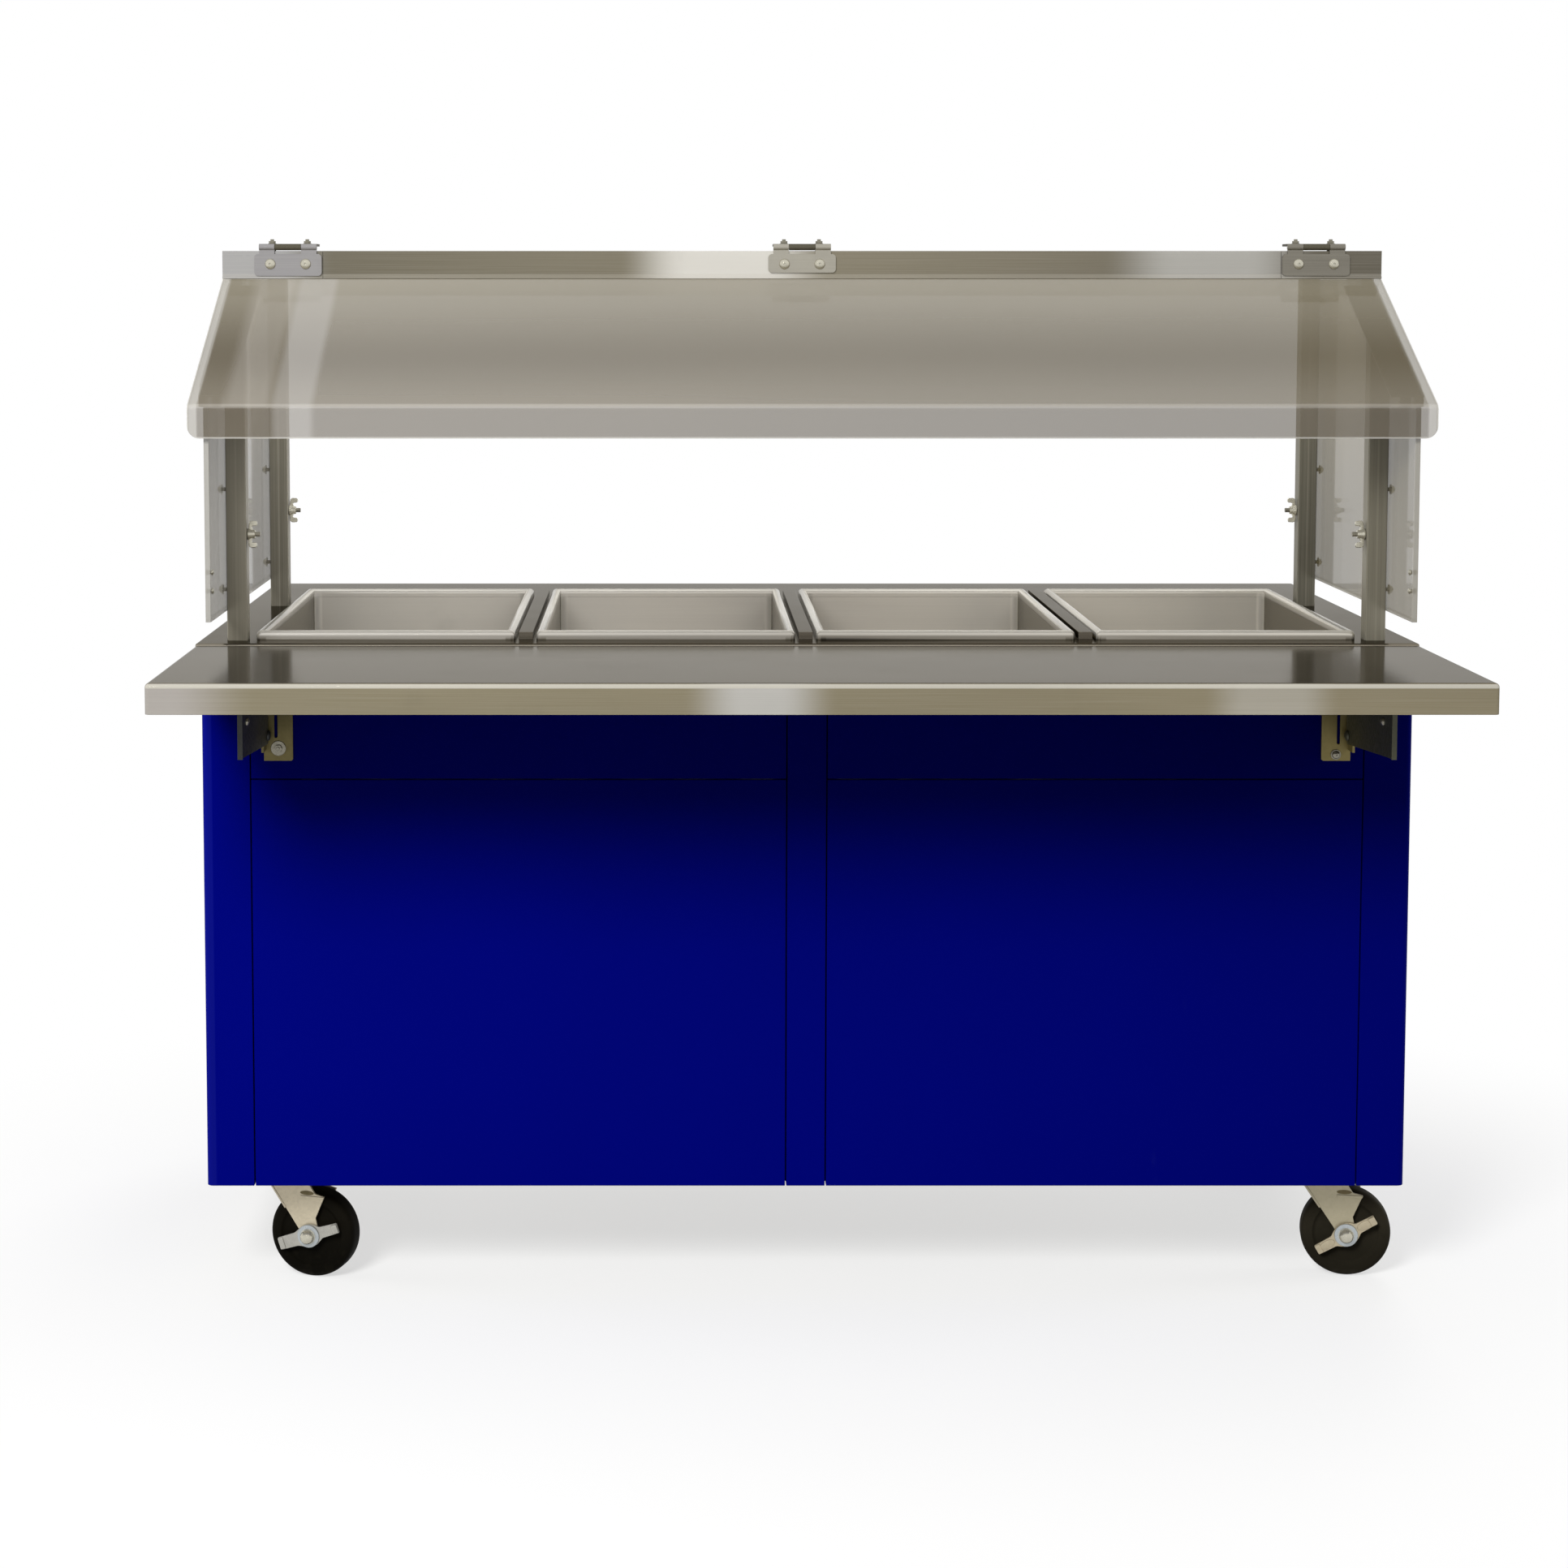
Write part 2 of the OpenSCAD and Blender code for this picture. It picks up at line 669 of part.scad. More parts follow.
// Guard frame
module post(y, top_pts) {
    difference() {
        box(post_in, post_out, y - post_s / 2, y + post_s / 2, counter_h, guard_top - sheet);
        box(post_in + post_wall, post_out - post_wall, y - post_s / 2 + post_wall,
            y + post_s / 2 - post_wall, counter_h - 1, guard_top);
        slab_x(post_in - 1, post_out + 1, top_pts);
        for (z = end_screw_z(y)) rod_x(screw_r + run_fit, post_x, post_out + 1, y, z);
    }
    rod_x(stud_r, post_in - stud_l, post_in + post_wall, y, wing_z);
}
// Heights of the end panel's screws on the front and rear posts
function end_screw_z(y) = y < post_y0 + 1
    ? [end_bottom + 26, end_bottom + 153]
    : [end_bottom + 23, end_bottom + 153, rail_bot - 32];
module guard_posts() {
    far = [[-2000, 5000], [-1999, 5000], [-1999, 5001]];
    a = post_y0 - post_s;
    b = post_y0 + post_s;
    color(DARK) both() {
        post(post_y0, [[a, arm_low(a)], [b, arm_low(b)], [b, guard_top + 1],
            [a, guard_top + 1]]);
        post(post_y1, far);
    }
}
module side_arms() {
    color(DARK) both() {
        slab_x(arm_x, arm_x + arm_t, [
            [lip_y + 52 + flange_gap / slope, arm_cut],
            [arm_y1, arm_z(arm_y1)],
            [pan_y0 + sheet + 0.5, fixed_top],
            [pan_y0 + sheet + 0.5, guard_top - sheet],
            [pan_y0 + 180, guard_top - sheet],
            [pan_y0 + 147, rail_bot - 3],
            [lip_y + 180, arm_cut]]);
        slab_x(post_in, arm_x + 0.5, [
            [arm_y0, arm_low(arm_y0)], [arm_y0, arm_z(arm_y0)],
            [arm_y1, arm_z(arm_y1)], [arm_y1, arm_low(arm_y1)]]);
    }
}
module arm_bumpers() {
    a = arm_y0;
    b = arm_y0 + 16;
    pts = [[a, arm_low(a) - 12], [b, arm_low(a) - 12], [b, arm_low(b)], [a, arm_low(a)]];
    color(BLACK) both() {
        slab_x(arm_x - 26, post_out - 0.3, pts);
        slab_x(end_x + 0.3, arm_x, pts);
    }
}
module top_pan() {
    color(STEEL) difference() {
        tray(-guard_x, guard_x, pan_y0, pan_y1, 3, rail_bot, guard_top, sheet);
        for (h = hinges, s = [-1, 1])
            rod_z(screw_r + run_fit, rail_bot, guard_top + 1, h + s * screw_pitch / 2,
                bolt_y);
    }
}
// Outline of an end panel under the arm and the pan
end_y0 = post_y0 - end_front;
end_y1 = post_y1 + post_s / 2 + 10;
end_pts = [[end_y0, end_bottom], [end_y1, end_bottom], [end_y1, rail_bot - 1],
    [pan_y0 + 1, rail_bot - 1], [pan_y0 + 1, fixed_top],
    [arm_y1, arm_low(arm_y1) - side_gap], [end_y0, arm_low(end_y0) - side_gap]];
edge_screws = [[end_y0 + 15, end_bottom + 60], [end_y0 + 15, end_bottom + 37]];
module end_panel() {
    difference() {
        slab_x(post_out, end_x, end_pts);
        for (y = [post_y0, post_y1], z = end_screw_z(y))
            rod_x(screw_r + run_fit, post_out - 1, end_x + 1, y, z);
        for (p = edge_screws)
            rod_x(screw_r + run_fit, post_out - 1, end_x + 1, p[0], p[1]);
    }
}
module end_panel_left() { color(CLEAR) mirror([1, 0, 0]) end_panel(); }
module end_panel_right() { color(CLEAR) end_panel(); }
module end_panel_screws() {
    color(ZINC) both() {
        for (y = [post_y0, post_y1], z = end_screw_z(y)) {
            rod_x(screw_r, post_out - post_wall, end_x + 1, y, z);
            rod_x(head_r - 0.6, end_x, end_x + 2, y, z);
            rod_x(head_r - 2, end_x, end_x + 3.2, y, z);
        }
        for (p = edge_screws) {
            rod_x(screw_r, post_out - 2, end_x + 1, p[0], p[1]);
            rod_x(screw_r + 1.2, end_x, end_x + 2, p[0], p[1]);
            rod_x(screw_r + 1.2, post_out - 2, post_out, p[0], p[1]);
        }
    }
}
// Wing nuts on the inner faces of the posts
module wing_nut(s, y) {
    x0 = post_in - side_gap;
    color(ZINC) mirror([s < 0 ? 1 : 0, 0, 0]) difference() {
        union() {
            rod_x(6, x0 - 9, x0, y, wing_z);
            for (k = [-1, 1]) {
                rod_x(5, x0 - 13, x0 - 9, y + k * 4, wing_z + k * 11);
                slab_x(x0 - 12, x0 - 3, [[y + k * 1 - 2.5, wing_z],
                    [y + k * 1 + 2.5, wing_z], [y + k * 4 + 2.5, wing_z + k * 12],
                    [y + k * 4 - 2.5, wing_z + k * 12]]);
            }
        }
        rod_x(stud_r + run_fit, x0 - 20, x0 + 1, y, wing_z);
    }
}
module wing_nut_1() { wing_nut(-1, post_y0); }
module wing_nut_2() { wing_nut(1, post_y0); }
module wing_nut_3() { wing_nut(-1, post_y1); }
module wing_nut_4() { wing_nut(1, post_y1); }

// Guard hinges: fixed top leaves
module hinge_top_leaves() {
    k = knuckle_mid;
    color(DARK) for (h = hinges) difference() {
        union() {
            box(h - knuckle_end, h + knuckle_end, axis_y + knuckle_r + 1.5,
                axis_y + leaf_d, leaf_under, leaf_under + leaf_t);
            box(h - k, h + k, axis_y, axis_y + knuckle_r + 2, leaf_under,
                leaf_under + leaf_t);
            rod_x(knuckle_r, h - k, h + k, axis_y, axis_z);
            for (s = [-1, 1])
                rod_z(5, guard_top, leaf_under + 1, h + s * screw_pitch / 2, bolt_y);
        }
        rod_x(pin_r + run_fit, h - k - 1, h + k + 1, axis_y, axis_z);
        for (s = [-1, 1])
            rod_z(screw_r + run_fit, guard_top - 1, guard_top + 30,
                h + s * screw_pitch / 2, bolt_y);
    }
}
module hinge_bolts() {
    top = leaf_under + leaf_t;
    color(ZINC) for (h = hinges, s = [-1, 1]) {
        x = h + s * screw_pitch / 2;
        rod_z(screw_r, guard_top - sheet - 8, top + 1, x, bolt_y);
        rod_z(4.6, top, top + 3.5, x, bolt_y);
        rod_z(screw_r, top + 3.5, top + 6, x, bolt_y);
        rod_z(4.6, guard_top - sheet - 5, guard_top - sheet, x, bolt_y);
    }
}
module hinge_pins() {
    color(ZINC) for (h = hinges)
        rod_x(pin_r, h - knuckle_end, h + knuckle_end, axis_y, axis_z);
}
// Moving part of the guard
module rail_part(x0, x1, hem) {
    box(x0, x1, rail_y, glass_y, rail_bot, guard_top);
    box(x0, x1, rail_y - 1.5, rail_y + 1, rail_bot, rail_bot + hem);
}
module rail_holes(list) {
    for (h = list, s = [-1, 1])
        rod_y(screw_r + run_fit, rail_y - leaf_t - 1, glass_back + 1,
            h + s * screw_pitch / 2, screw_z);
}
module front_rail() {
    color(STEEL) difference() {
        rail_part(-cap_x + 0.5, cap_x - 0.5, hem_h);
        rail_holes([0]);
    }
}
module rail_end_caps() {
    color(STEEL) both() difference() {
        rail_part(cap_x, guard_x, hem_h_end);
        rail_holes([hinge_x]);
    }
}
module guard_panel() {
    y = lip_y;
    z = bend_z - lip_h;
    t = panel_t;
    color(CLEAR) difference() {
        slab_x(-guard_x, guard_x, [[glass_y, guard_top - 2], [glass_y, rail_bot],
            [y, bend_z], [y, z], [y + t, z], [y + t, under_z(y + t)],
            [glass_back, under_z(glass_back)], [glass_back, guard_top - 2]]);
        both() difference() {
            box(guard_x - lip_r, guard_x + 1, y - 1, y + t + 1, z - 1, z + lip_r);
            rod_y(lip_r, y - 2, y + t + 2, guard_x - lip_r, z + lip_r);
        }
        rail_holes(hinges);
    }
}
module hinge_front_leaves() {
    k = knuckle_mid + side_gap;
    color(ZINC) for (h = hinges) difference() {
        union() {
            translate([0, rail_y, 0]) rotate([90, 0, 0]) linear_extrude(leaf_t)
                round_plan(h - leaf_w / 2, h + leaf_w / 2,
                    h == 0 ? leaf_bot : leaf_bot_end,
                    h == 0 ? leaf_top : leaf_bot_end + leaf_h_end, 5);
            for (s = [-1, 1]) {
                a = min(h + s * k, h + s * knuckle_end);
                b = max(h + s * k, h + s * knuckle_end);
                rod_x(knuckle_r, a, b, axis_y, axis_z);
                box(a, b, rail_y - leaf_t, rail_y, leaf_top - 1, axis_z);
            }
        }
        for (s = [-1, 1])
            rod_x(pin_r + run_fit, h - knuckle_end - 1, h + knuckle_end + 1, axis_y, axis_z);
        rail_holes([h]);
    }
}
module hinge_screws() {
    y0 = rail_y - leaf_t;
    ball = (dome_r * dome_r + dome_h * dome_h) / (2 * dome_h);
    color(ZINC) for (h = hinges, s = [-1, 1]) {
        x = h + s * screw_pitch / 2;
        rod_y(screw_r, y0 - 1, glass_back, x, screw_z);
        translate([x, y0, screw_z]) intersection() {
            translate([0, ball - dome_h, 0]) sphere(r = ball);
            translate([-dome_r, -dome_h, -dome_r]) cube([2 * dome_r, dome_h, 2 * dome_r]);
        }
    }
}

// Fold-down front shelf
module front_shelf() {
    half = counter_w / 2;
    color(STEEL) tray(-half, half, shelf_y0, shelf_y1, corner_r, shelf_bottom,
        shelf_top, sheet);
}
module shelf_arms() {
    y0 = pivot_y - arm_web_l;
    yr = shelf_y1 - sheet - 1;
    under = shelf_top - sheet;
    color(ZINC) both() difference() {
        union() {
            slab_x(arm_web_x - arm_web_t, arm_web_x, [
                [pivot_y, pivot_z - pivot_boss], [yr, pivot_z], [yr, under],
                [y0, under], [y0, pivot_z - pivot_boss + web_lift]]);
            rod_x(pivot_boss, arm_web_x - arm_web_t, arm_web_x, pivot_y, pivot_z);
            box(arm_web_x - 25, arm_web_x, y0, yr, under - 3, under);
            box(arm_web_x - arm_lip, arm_web_x, y0 - 2, y0 + 1,
                pivot_z - pivot_boss + web_lift, under - 3);
        }
        rod_x(pivot_r + run_fit, arm_web_x - 30, arm_web_x + 1, pivot_y, pivot_z);
        rod_x(screw_r + run_fit, arm_web_x - 30, arm_web_x + 1, web_bolt[0], web_bolt[1]);
    }
}
module shelf_arm_bolts() {
    x0 = arm_web_x - arm_web_t;
    color(ZINC) both() {
        rod_x(screw_r, x0 - 1, arm_web_x + 1, web_bolt[0], web_bolt[1]);
        rod_x(screw_r + 2.5, x0 - 4, x0, web_bolt[0], web_bolt[1]);
        rod_x(screw_r + 2.5, arm_web_x, arm_web_x + 3, web_bolt[0], web_bolt[1]);
    }
}
module shelf_wall_brackets() {
    x0 = arm_web_x - bracket_w;
    x1 = leg_x + bracket_t;
    r = slot_w / 2;
    y0 = bracket_face - 1;
    y1 = body_y0 + 1;
    color(ZINC) for (p = bracket_rows) mirror([p[0] < 0 ? 1 : 0, 0, 0]) difference() {
        union() {
            difference() {
                box(x0, x1, bracket_face, body_y0, bracket_z, bracket_top);
                difference() {
                    box(x0 - 1, x0 + 3, y0, y1, bracket_z - 1, bracket_z + 3);
                    rod_y(3, y0 - 1, y1 + 1, x0 + 3, bracket_z + 3);
                }
            }
            box(leg_x, x1, pivot_y - 12, bracket_face, pivot_z - 20, pivot_z + 20);
        }
        rod_x(pivot_r + run_fit, leg_x - 1, x1 + 1, pivot_y, pivot_z);
        for (z = [p[1] + 13 + r, bolt_z2 - 12 - r]) rod_y(r, y0, y1, slot_x, z);
        box(slot_x - r, slot_x + r, y0, y1, p[1] + 13 + r, bolt_z2 - 12 - r);
        for (z = [p[1], bolt_z2]) rod_y(screw_r + run_fit, y0, y1, bolt_x, z);
    }
}
module shelf_bracket_bolts() {
    y = bracket_face;
    color(ZINC) for (p = bracket_rows, z = [p[1], bolt_z2])
        mirror([p[0] < 0 ? 1 : 0, 0, 0]) {
            rod_y(screw_r, y - 1, body_y0, bolt_x, z);
            rod_y(p[2], y - 1.6, y, bolt_x, z);
            rod_y(5, y - 5, y - 1.6, bolt_x, z);
            rod_y(screw_r, y - 7, y - 5, bolt_x, z);
        }
}
module shelf_pivot_pins() {
    x0 = arm_web_x - arm_web_t - side_gap;
    x1 = leg_x + bracket_t;
    color(ZINC) both() {
        rod_x(pivot_r, x0 - 1, x1 + 3, pivot_y, pivot_z);
        rod_x(pivot_r + 3, x0 - pivot_head, x0, pivot_y, pivot_z);
        rod_x(pivot_r + 2.5, x1, x1 + 3, pivot_y, pivot_z);
    }
}

// Casters
module caster_plates() {
    color(ZINC) for (p = swivels) {
        translate([p[0], p[1], 0]) {
            round_slab(-50, 50, -30, 30, 6, caster_h - 3, caster_h);
            rod_z(27, crown_top + side_gap, caster_h - 3, 0, 0);
            rod_z(king_r, crown_bot - 4, caster_h - 3, 0, 0);
            rod_z(king_r + 4, crown_bot - 4 - side_gap, crown_bot - side_gap, 0, 0);
        }
    }
}
// Fork at a swivel, with its axle, cap nut and head
module caster_fork(p, brake) {
    nut_y = -leg_out - (brake ? fork_t + 2 * nut_gap : 0);
    translate([p[0], p[1], 0]) rotate([0, 0, p[2]]) {
        color(ZINC) difference() {
            union() {
                rod_z(crown_r, crown_bot, crown_top, 0, 0);
                box(-crown_r, crown_r - 3, -leg_out, leg_out, crown_bot, crown_top - 2);
                for (s = [-1, 1]) {
                    a = min(s * leg_y, s * leg_out);
                    b = max(s * leg_y, s * leg_out);
                    slab_y(a, b, leg_pts);
                    rod_y(eye_r, a, b, trail, wheel_r);
                }
            }
            rod_z(king_r + run_fit, crown_bot - 1, crown_top + 1, 0, 0);
            rod_y(axle_r + run_fit, -leg_out - 1, leg_out + 1, trail, wheel_r);
        }
        color(ZINC) {
            rod_y(axle_r, nut_y - 3, leg_out + 1, trail, wheel_r);
            rod_y(brake ? 15 : 10, nut_y - 2, nut_y - (brake ? 0 : seat), trail, wheel_r);
            rod_y(8, nut_y - 6, nut_y - 2, trail, wheel_r);
            translate([trail, nut_y - 6, wheel_r]) intersection() {
                sphere(r = 7);
                translate([-8, -8, -8]) cube([16, 9, 16]);
            }
            rod_y(8, leg_out + seat, leg_out + 5, trail, wheel_r);
        }
    }
}
module caster_fork_1() { caster_fork(swivels[0], true); }
module caster_fork_2() { caster_fork(swivels[1], true); }
module caster_fork_3() { caster_fork(swivels[2], false); }
module caster_fork_4() { caster_fork(swivels[3], false); }
// Wheel: tread with rounded shoulders, thin web and hub
module caster_wheel(p) {
    h = wheel_w / 2;
    r = wheel_r;
    color(BLACK) translate([p[0], p[1], wheel_r]) rotate([0, 0, p[2]])
        translate([trail, 0, 0]) rotate([90, 0, 0]) rotate_extrude() polygon([
            [axle_r + run_fit, -h - 2], [12, -h - 2], [15, -h + 3], [r - 16, -h + 4],
            [r - 13, -h], [r - 5, -h], [r - 1, -h + 4], [r, -h + 9], [r, h - 9],
            [r - 1, h - 4], [r - 5, h], [r - 13, h], [r - 16, h - 4], [15, h - 3],
            [12, h + 2], [axle_r + run_fit, h + 2]]);
}
module caster_wheel_1() { caster_wheel(swivels[0]); }
module caster_wheel_2() { caster_wheel(swivels[1]); }
module caster_wheel_3() { caster_wheel(swivels[2]); }
module caster_wheel_4() { caster_wheel(swivels[3]); }
module brake_lever(p, tilt) {
    y0 = -leg_out - nut_gap - fork_t;
    l = lever_l / 2;
    w = lever_w / 2;
    color(ZINC) translate([p[0], p[1], wheel_r]) rotate([0, 0, p[2]])
        translate([trail, 0, 0]) rotate([0, -tilt, 0]) difference() {
            union() {
                box(-l, 0, y0, y0 + fork_t, -w, w);
                box(0, l, y0, y0 + fork_t, -w + 1, w - 1);
                rod_y(2 * w, y0, y0 + fork_t, 0, 0);
                box(l - 9, l, y0 - 3, y0 + fork_t, -w + 1, w - 1);
            }
            rod_y(axle_r + run_fit, y0 - 5, y0 + 10, 0, 0);
        }
}
module brake_lever_1() { brake_lever(swivels[0], lever_tilt_l); }
module brake_lever_2() { brake_lever(swivels[1], lever_tilt_r); }

counter_top();
well_1();
well_2();
well_3();
well_4();
strip_heaters();
drain_manifold();
base_rails();
base_deck();
side_panels();
corner_stiles();
rear_stiles();
centre_stile();
upper_panels();
lower_panels();
control_panel();
pilot_lights();
power_inlet();
guard_posts();
side_arms();
arm_bumpers();
top_pan();
end_panel_left();
end_panel_right();
end_panel_screws();
hinge_top_leaves();
hinge_bolts();
hinge_pins();
shelf_wall_brackets();
shelf_bracket_bolts();
shelf_pivot_pins();
caster_plates();
front_rail();
rail_end_caps();
guard_panel();
hinge_front_leaves();
hinge_screws();
front_shelf();
shelf_arms();
shelf_arm_bolts();
caster_fork_1();
caster_fork_2();
caster_fork_3();
caster_fork_4();
caster_wheel_1();
caster_wheel_2();
caster_wheel_3();
caster_wheel_4();
brake_lever_1();
brake_lever_2();
wing_nut_1();
wing_nut_2();
wing_nut_3();
wing_nut_4();
control_knob_1();
control_knob_2();
control_knob_3();
control_knob_4();
power_switch();
drain_handle();
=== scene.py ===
"""Mobile hot food serving counter: finishes, detailed pieces, lights and camera.

Metres, +X along the counter, -Y towards the customer, +Z up, floor at z = 0.
"""
import math

import bmesh
import bpy
from mathutils import Matrix, Vector
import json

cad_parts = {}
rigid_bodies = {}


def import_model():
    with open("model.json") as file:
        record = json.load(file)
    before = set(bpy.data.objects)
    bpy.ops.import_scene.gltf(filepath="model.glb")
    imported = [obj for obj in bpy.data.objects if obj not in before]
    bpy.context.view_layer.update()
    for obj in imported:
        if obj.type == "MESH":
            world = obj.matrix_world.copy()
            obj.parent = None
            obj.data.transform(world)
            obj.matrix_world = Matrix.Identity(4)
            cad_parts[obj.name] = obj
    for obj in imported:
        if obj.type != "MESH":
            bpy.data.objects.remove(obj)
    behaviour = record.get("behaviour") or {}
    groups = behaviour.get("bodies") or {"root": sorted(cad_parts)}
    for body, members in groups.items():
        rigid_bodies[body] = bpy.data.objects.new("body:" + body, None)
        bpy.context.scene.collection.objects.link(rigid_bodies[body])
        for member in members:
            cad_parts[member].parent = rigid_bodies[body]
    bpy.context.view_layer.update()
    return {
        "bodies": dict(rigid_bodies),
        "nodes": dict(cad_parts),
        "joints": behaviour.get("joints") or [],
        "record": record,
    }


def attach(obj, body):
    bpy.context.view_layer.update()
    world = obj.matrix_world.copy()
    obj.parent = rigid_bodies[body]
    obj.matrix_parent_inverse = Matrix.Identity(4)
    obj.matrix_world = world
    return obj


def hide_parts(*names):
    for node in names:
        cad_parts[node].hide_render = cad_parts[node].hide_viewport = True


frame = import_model()
nodes = frame["nodes"]
body_of = {n: b for b, group in frame["record"]["behaviour"]["bodies"].items() for n in group}
MM = 0.001
BLACK = (0, 0, 0)

# Sizes of the CAD model, in millimetres
WELL_PITCH = 355.6
WELL_X = [k * WELL_PITCH for k in (-1.5, -0.5, 0.5, 1.5)]
WELL_Y = 111
POST_X = 720
POST_Y = (-155, 253)
POST_IN = 707.3
END_IN, END_OUT = 732.7, 738.7
HINGES = (-671, 0, 671)
HINGE_SCREWS = (-23, 23)
LEAF_FACE = -13
HINGE_BOLT_Y = 8
BRACKET_X, BRACKET_FACE = 664.7, -203
PIVOT = (-215, 722)
ARM_BOLT = (-395.2, 766.1)
BOLT_R = 2.5
PANEL_Y = 535
KNOB_Z = 764.9
PILOT_DX = 45

# Places on the CAD model, in metres. A pair is where one finish ends and the next begins
COUNTER_FLAT = (0.8335, 0.8350)
SHELF_FLAT = (0.8328, 0.8338)
SHELF_ROLL = (0.8288, 0.8325)
SHELF_FACE = (-0.5585, -0.5560)
RAIL_FOOT = (1.2985, 1.2995)
WELL_RIM = (0.8425, 0.8465)
LEFT_STILE = (-0.7635, -0.7505)
LEFT_TO_RIGHT = (-0.4, 0.4)


# Shader maths
class Value:
    """A number socket; Python arithmetic on it adds Math nodes."""

    def __init__(self, finish, socket):
        self.finish = finish
        self.socket = socket

    def _math(self, operation, *values):
        return self.finish.node("ShaderNodeMath", {"operation": operation}, *values)

    def __add__(self, other):
        return self._math("ADD", self, other)

    def __mul__(self, other):
        return self._math("MULTIPLY", self, other)

    def __sub__(self, other):
        return self._math("SUBTRACT", self, other)

    def __rsub__(self, other):
        return self._math("SUBTRACT", other, self)

    def __truediv__(self, other):
        return self._math("DIVIDE", self, other)

    def __pow__(self, other):
        return self._math("POWER", self, other)

    __radd__ = __add__
    __rmul__ = __mul__

    def most(self, other):
        return self._math("MAXIMUM", self, other)

    def size(self):
        return self._math("ABSOLUTE", self)

    def rest(self):
        """What is left over the whole number below."""
        return self._math("FRACT", self)

    def step(self, low, high):
        """0 below low, 1 above high, smooth between."""
        return self.finish.node(
            "ShaderNodeMapRange", {"interpolation_type": "SMOOTHSTEP"}, self, low, high
        )


class Finish:
    """A node material built from one Principled surface."""

    def __init__(self, name, **surface):
        self.material = bpy.data.materials.new(name)
        self.material.use_nodes = True
        self.tree = self.material.node_tree
        self.surface = self.tree.nodes["Principled BSDF"]
        self.set(**surface)
        self._place = None

    def node(self, kind, settings=None, *values, out=0, **named):
        """Adds a node: its settings first, then the values or links of its sockets."""
        made = self.tree.nodes.new(kind)
        for key, value in (settings or {}).items():
            if key == "stops":
                ramp = made.color_ramp.elements
                for stop, (place, tone) in zip((ramp[0], ramp[1]), (value[0], value[-1])):
                    stop.position, stop.color = place, (*tone, 1)
                for place, tone in value[1:-1]:
                    ramp.new(place).color = (*tone, 1)
            else:
                setattr(made, key, value)
        for key, value in list(enumerate(values)) + list(named.items()):
            self.feed(made.inputs[key], value)
        return Value(self, made.outputs[out])

    def feed(self, socket, value):
        if isinstance(value, Value):
            self.tree.links.new(value.socket, socket)
        elif socket.type == "RGBA" and len(value) == 3:
            socket.default_value = (*value, 1)
        else:
            socket.default_value = value

    def set(self, **surface):
        for key, value in surface.items():
            self.feed(self.surface.inputs[key.replace("_", " ")], value)

    def place(self):
        """Object coordinates, which on every piece are the model's own metres."""
        if self._place is None:
            self._place = self.node("ShaderNodeTexCoord", out="Object")
        return self._place

    def axis(self, letter):
        return self.node("ShaderNodeSeparateXYZ", {}, self.place(), out="XYZ".index(letter))

    def noise(self, stretch=(1, 1, 1), scale=1.0, detail=2.0, rough=0.5, out="Fac"):
        """Noise whose grain is longer along the axes with a small stretch."""
        moved = self.node("ShaderNodeMapping", {}, self.place(), Scale=stretch)
        return self.node(
            "ShaderNodeTexNoise", {}, moved, out=out, Scale=scale, Detail=detail, Roughness=rough
        )

    def mix(self, factor, low, high):
        """A colour between two; the node's colour sockets come after its number ones."""
        made = self.tree.nodes.new("ShaderNodeMix")
        made.data_type = "RGBA"
        self.feed(made.inputs[0], factor)
        self.feed(made.inputs[6], low)
        self.feed(made.inputs[7], high)
        return Value(self, made.outputs[2])

    def bump(self, height, strength, distance):
        return self.node(
            "ShaderNodeBump", {}, Height=height, Strength=strength, Distance=distance, out="Normal"
        )


def srgb(*tone):
    """A screen colour, 0 to 255 each, as the linear colour that a shader takes."""
    return tuple(((c / 255 + 0.055) / 1.055) ** 2.4 if c > 10 else c / 255 / 12.92 for c in tone)


def shade(tone, level):
    """A linear colour made darker or lighter."""
    return tuple(min(1.0, c * level) for c in tone)


# Finishes
def tone_along(made, stops):
    """A colour that changes along the counter; each stop is millimetres and a colour."""
    width = 1.6
    reach = made.axis("X") * (1 / width) + 0.5
    return made.node(
        "ShaderNodeValToRGB",
        {"stops": [(0.5 + x * MM / width, tone) for x, tone in stops]},
        reach,
    )


# How the grain and the broad painted sheen are drawn out: less along the axis that they follow
GRAIN = {"X": (5, 1300, 1300), "Y": (1300, 5, 1300), "Z": (1300, 1300, 5)}
SHEEN = {"X": (1.5, 8, 8), "Y": (8, 1.5, 8), "Z": (6, 6, 1.2)}
STEEL_TINT = (0.25, 0.23, 0.19)
BRIGHT_LINE = srgb(235, 230, 218)


def brushed(name, stops, along="X", rough=0.2, metal=0.5, patch=0.1, grain=0.03, extra=None):
    """Brushed sheet: fine lines along one axis, broad patches of painted reflection and wiped
    smears.
    """
    made = Finish(name, Specular_Tint=STEEL_TINT)
    fine = made.noise(GRAIN[along], 1.0, 2.0, 0.6)
    broad = made.noise(SHEEN[along], 1.0, 2.0, 0.5)
    smear = made.noise((9, 9, 9), 1.0, 4.0, 0.65)
    colour = tone_along(made, stops)
    if extra:
        colour = extra(made, colour)
    # painted reflection: broad darker patches of uneven sheen
    colour = made.mix((1 - broad.step(0.3, 0.7)) * patch, colour, BLACK)
    colour = made.mix(smear.step(0.55, 0.85) * patch * 1.2, colour, BLACK)
    colour = made.mix(fine.step(0.3, 0.8) * 0.07, colour, BRIGHT_LINE)
    made.set(
        Base_Color=colour,
        Metallic=metal(made) if callable(metal) else metal,
        Roughness=(fine - 0.5) * 0.08 + (smear - 0.5) * 0.08 + rough,
        Normal=made.bump(fine, 0.2, grain * MM),
    )
    return made.material


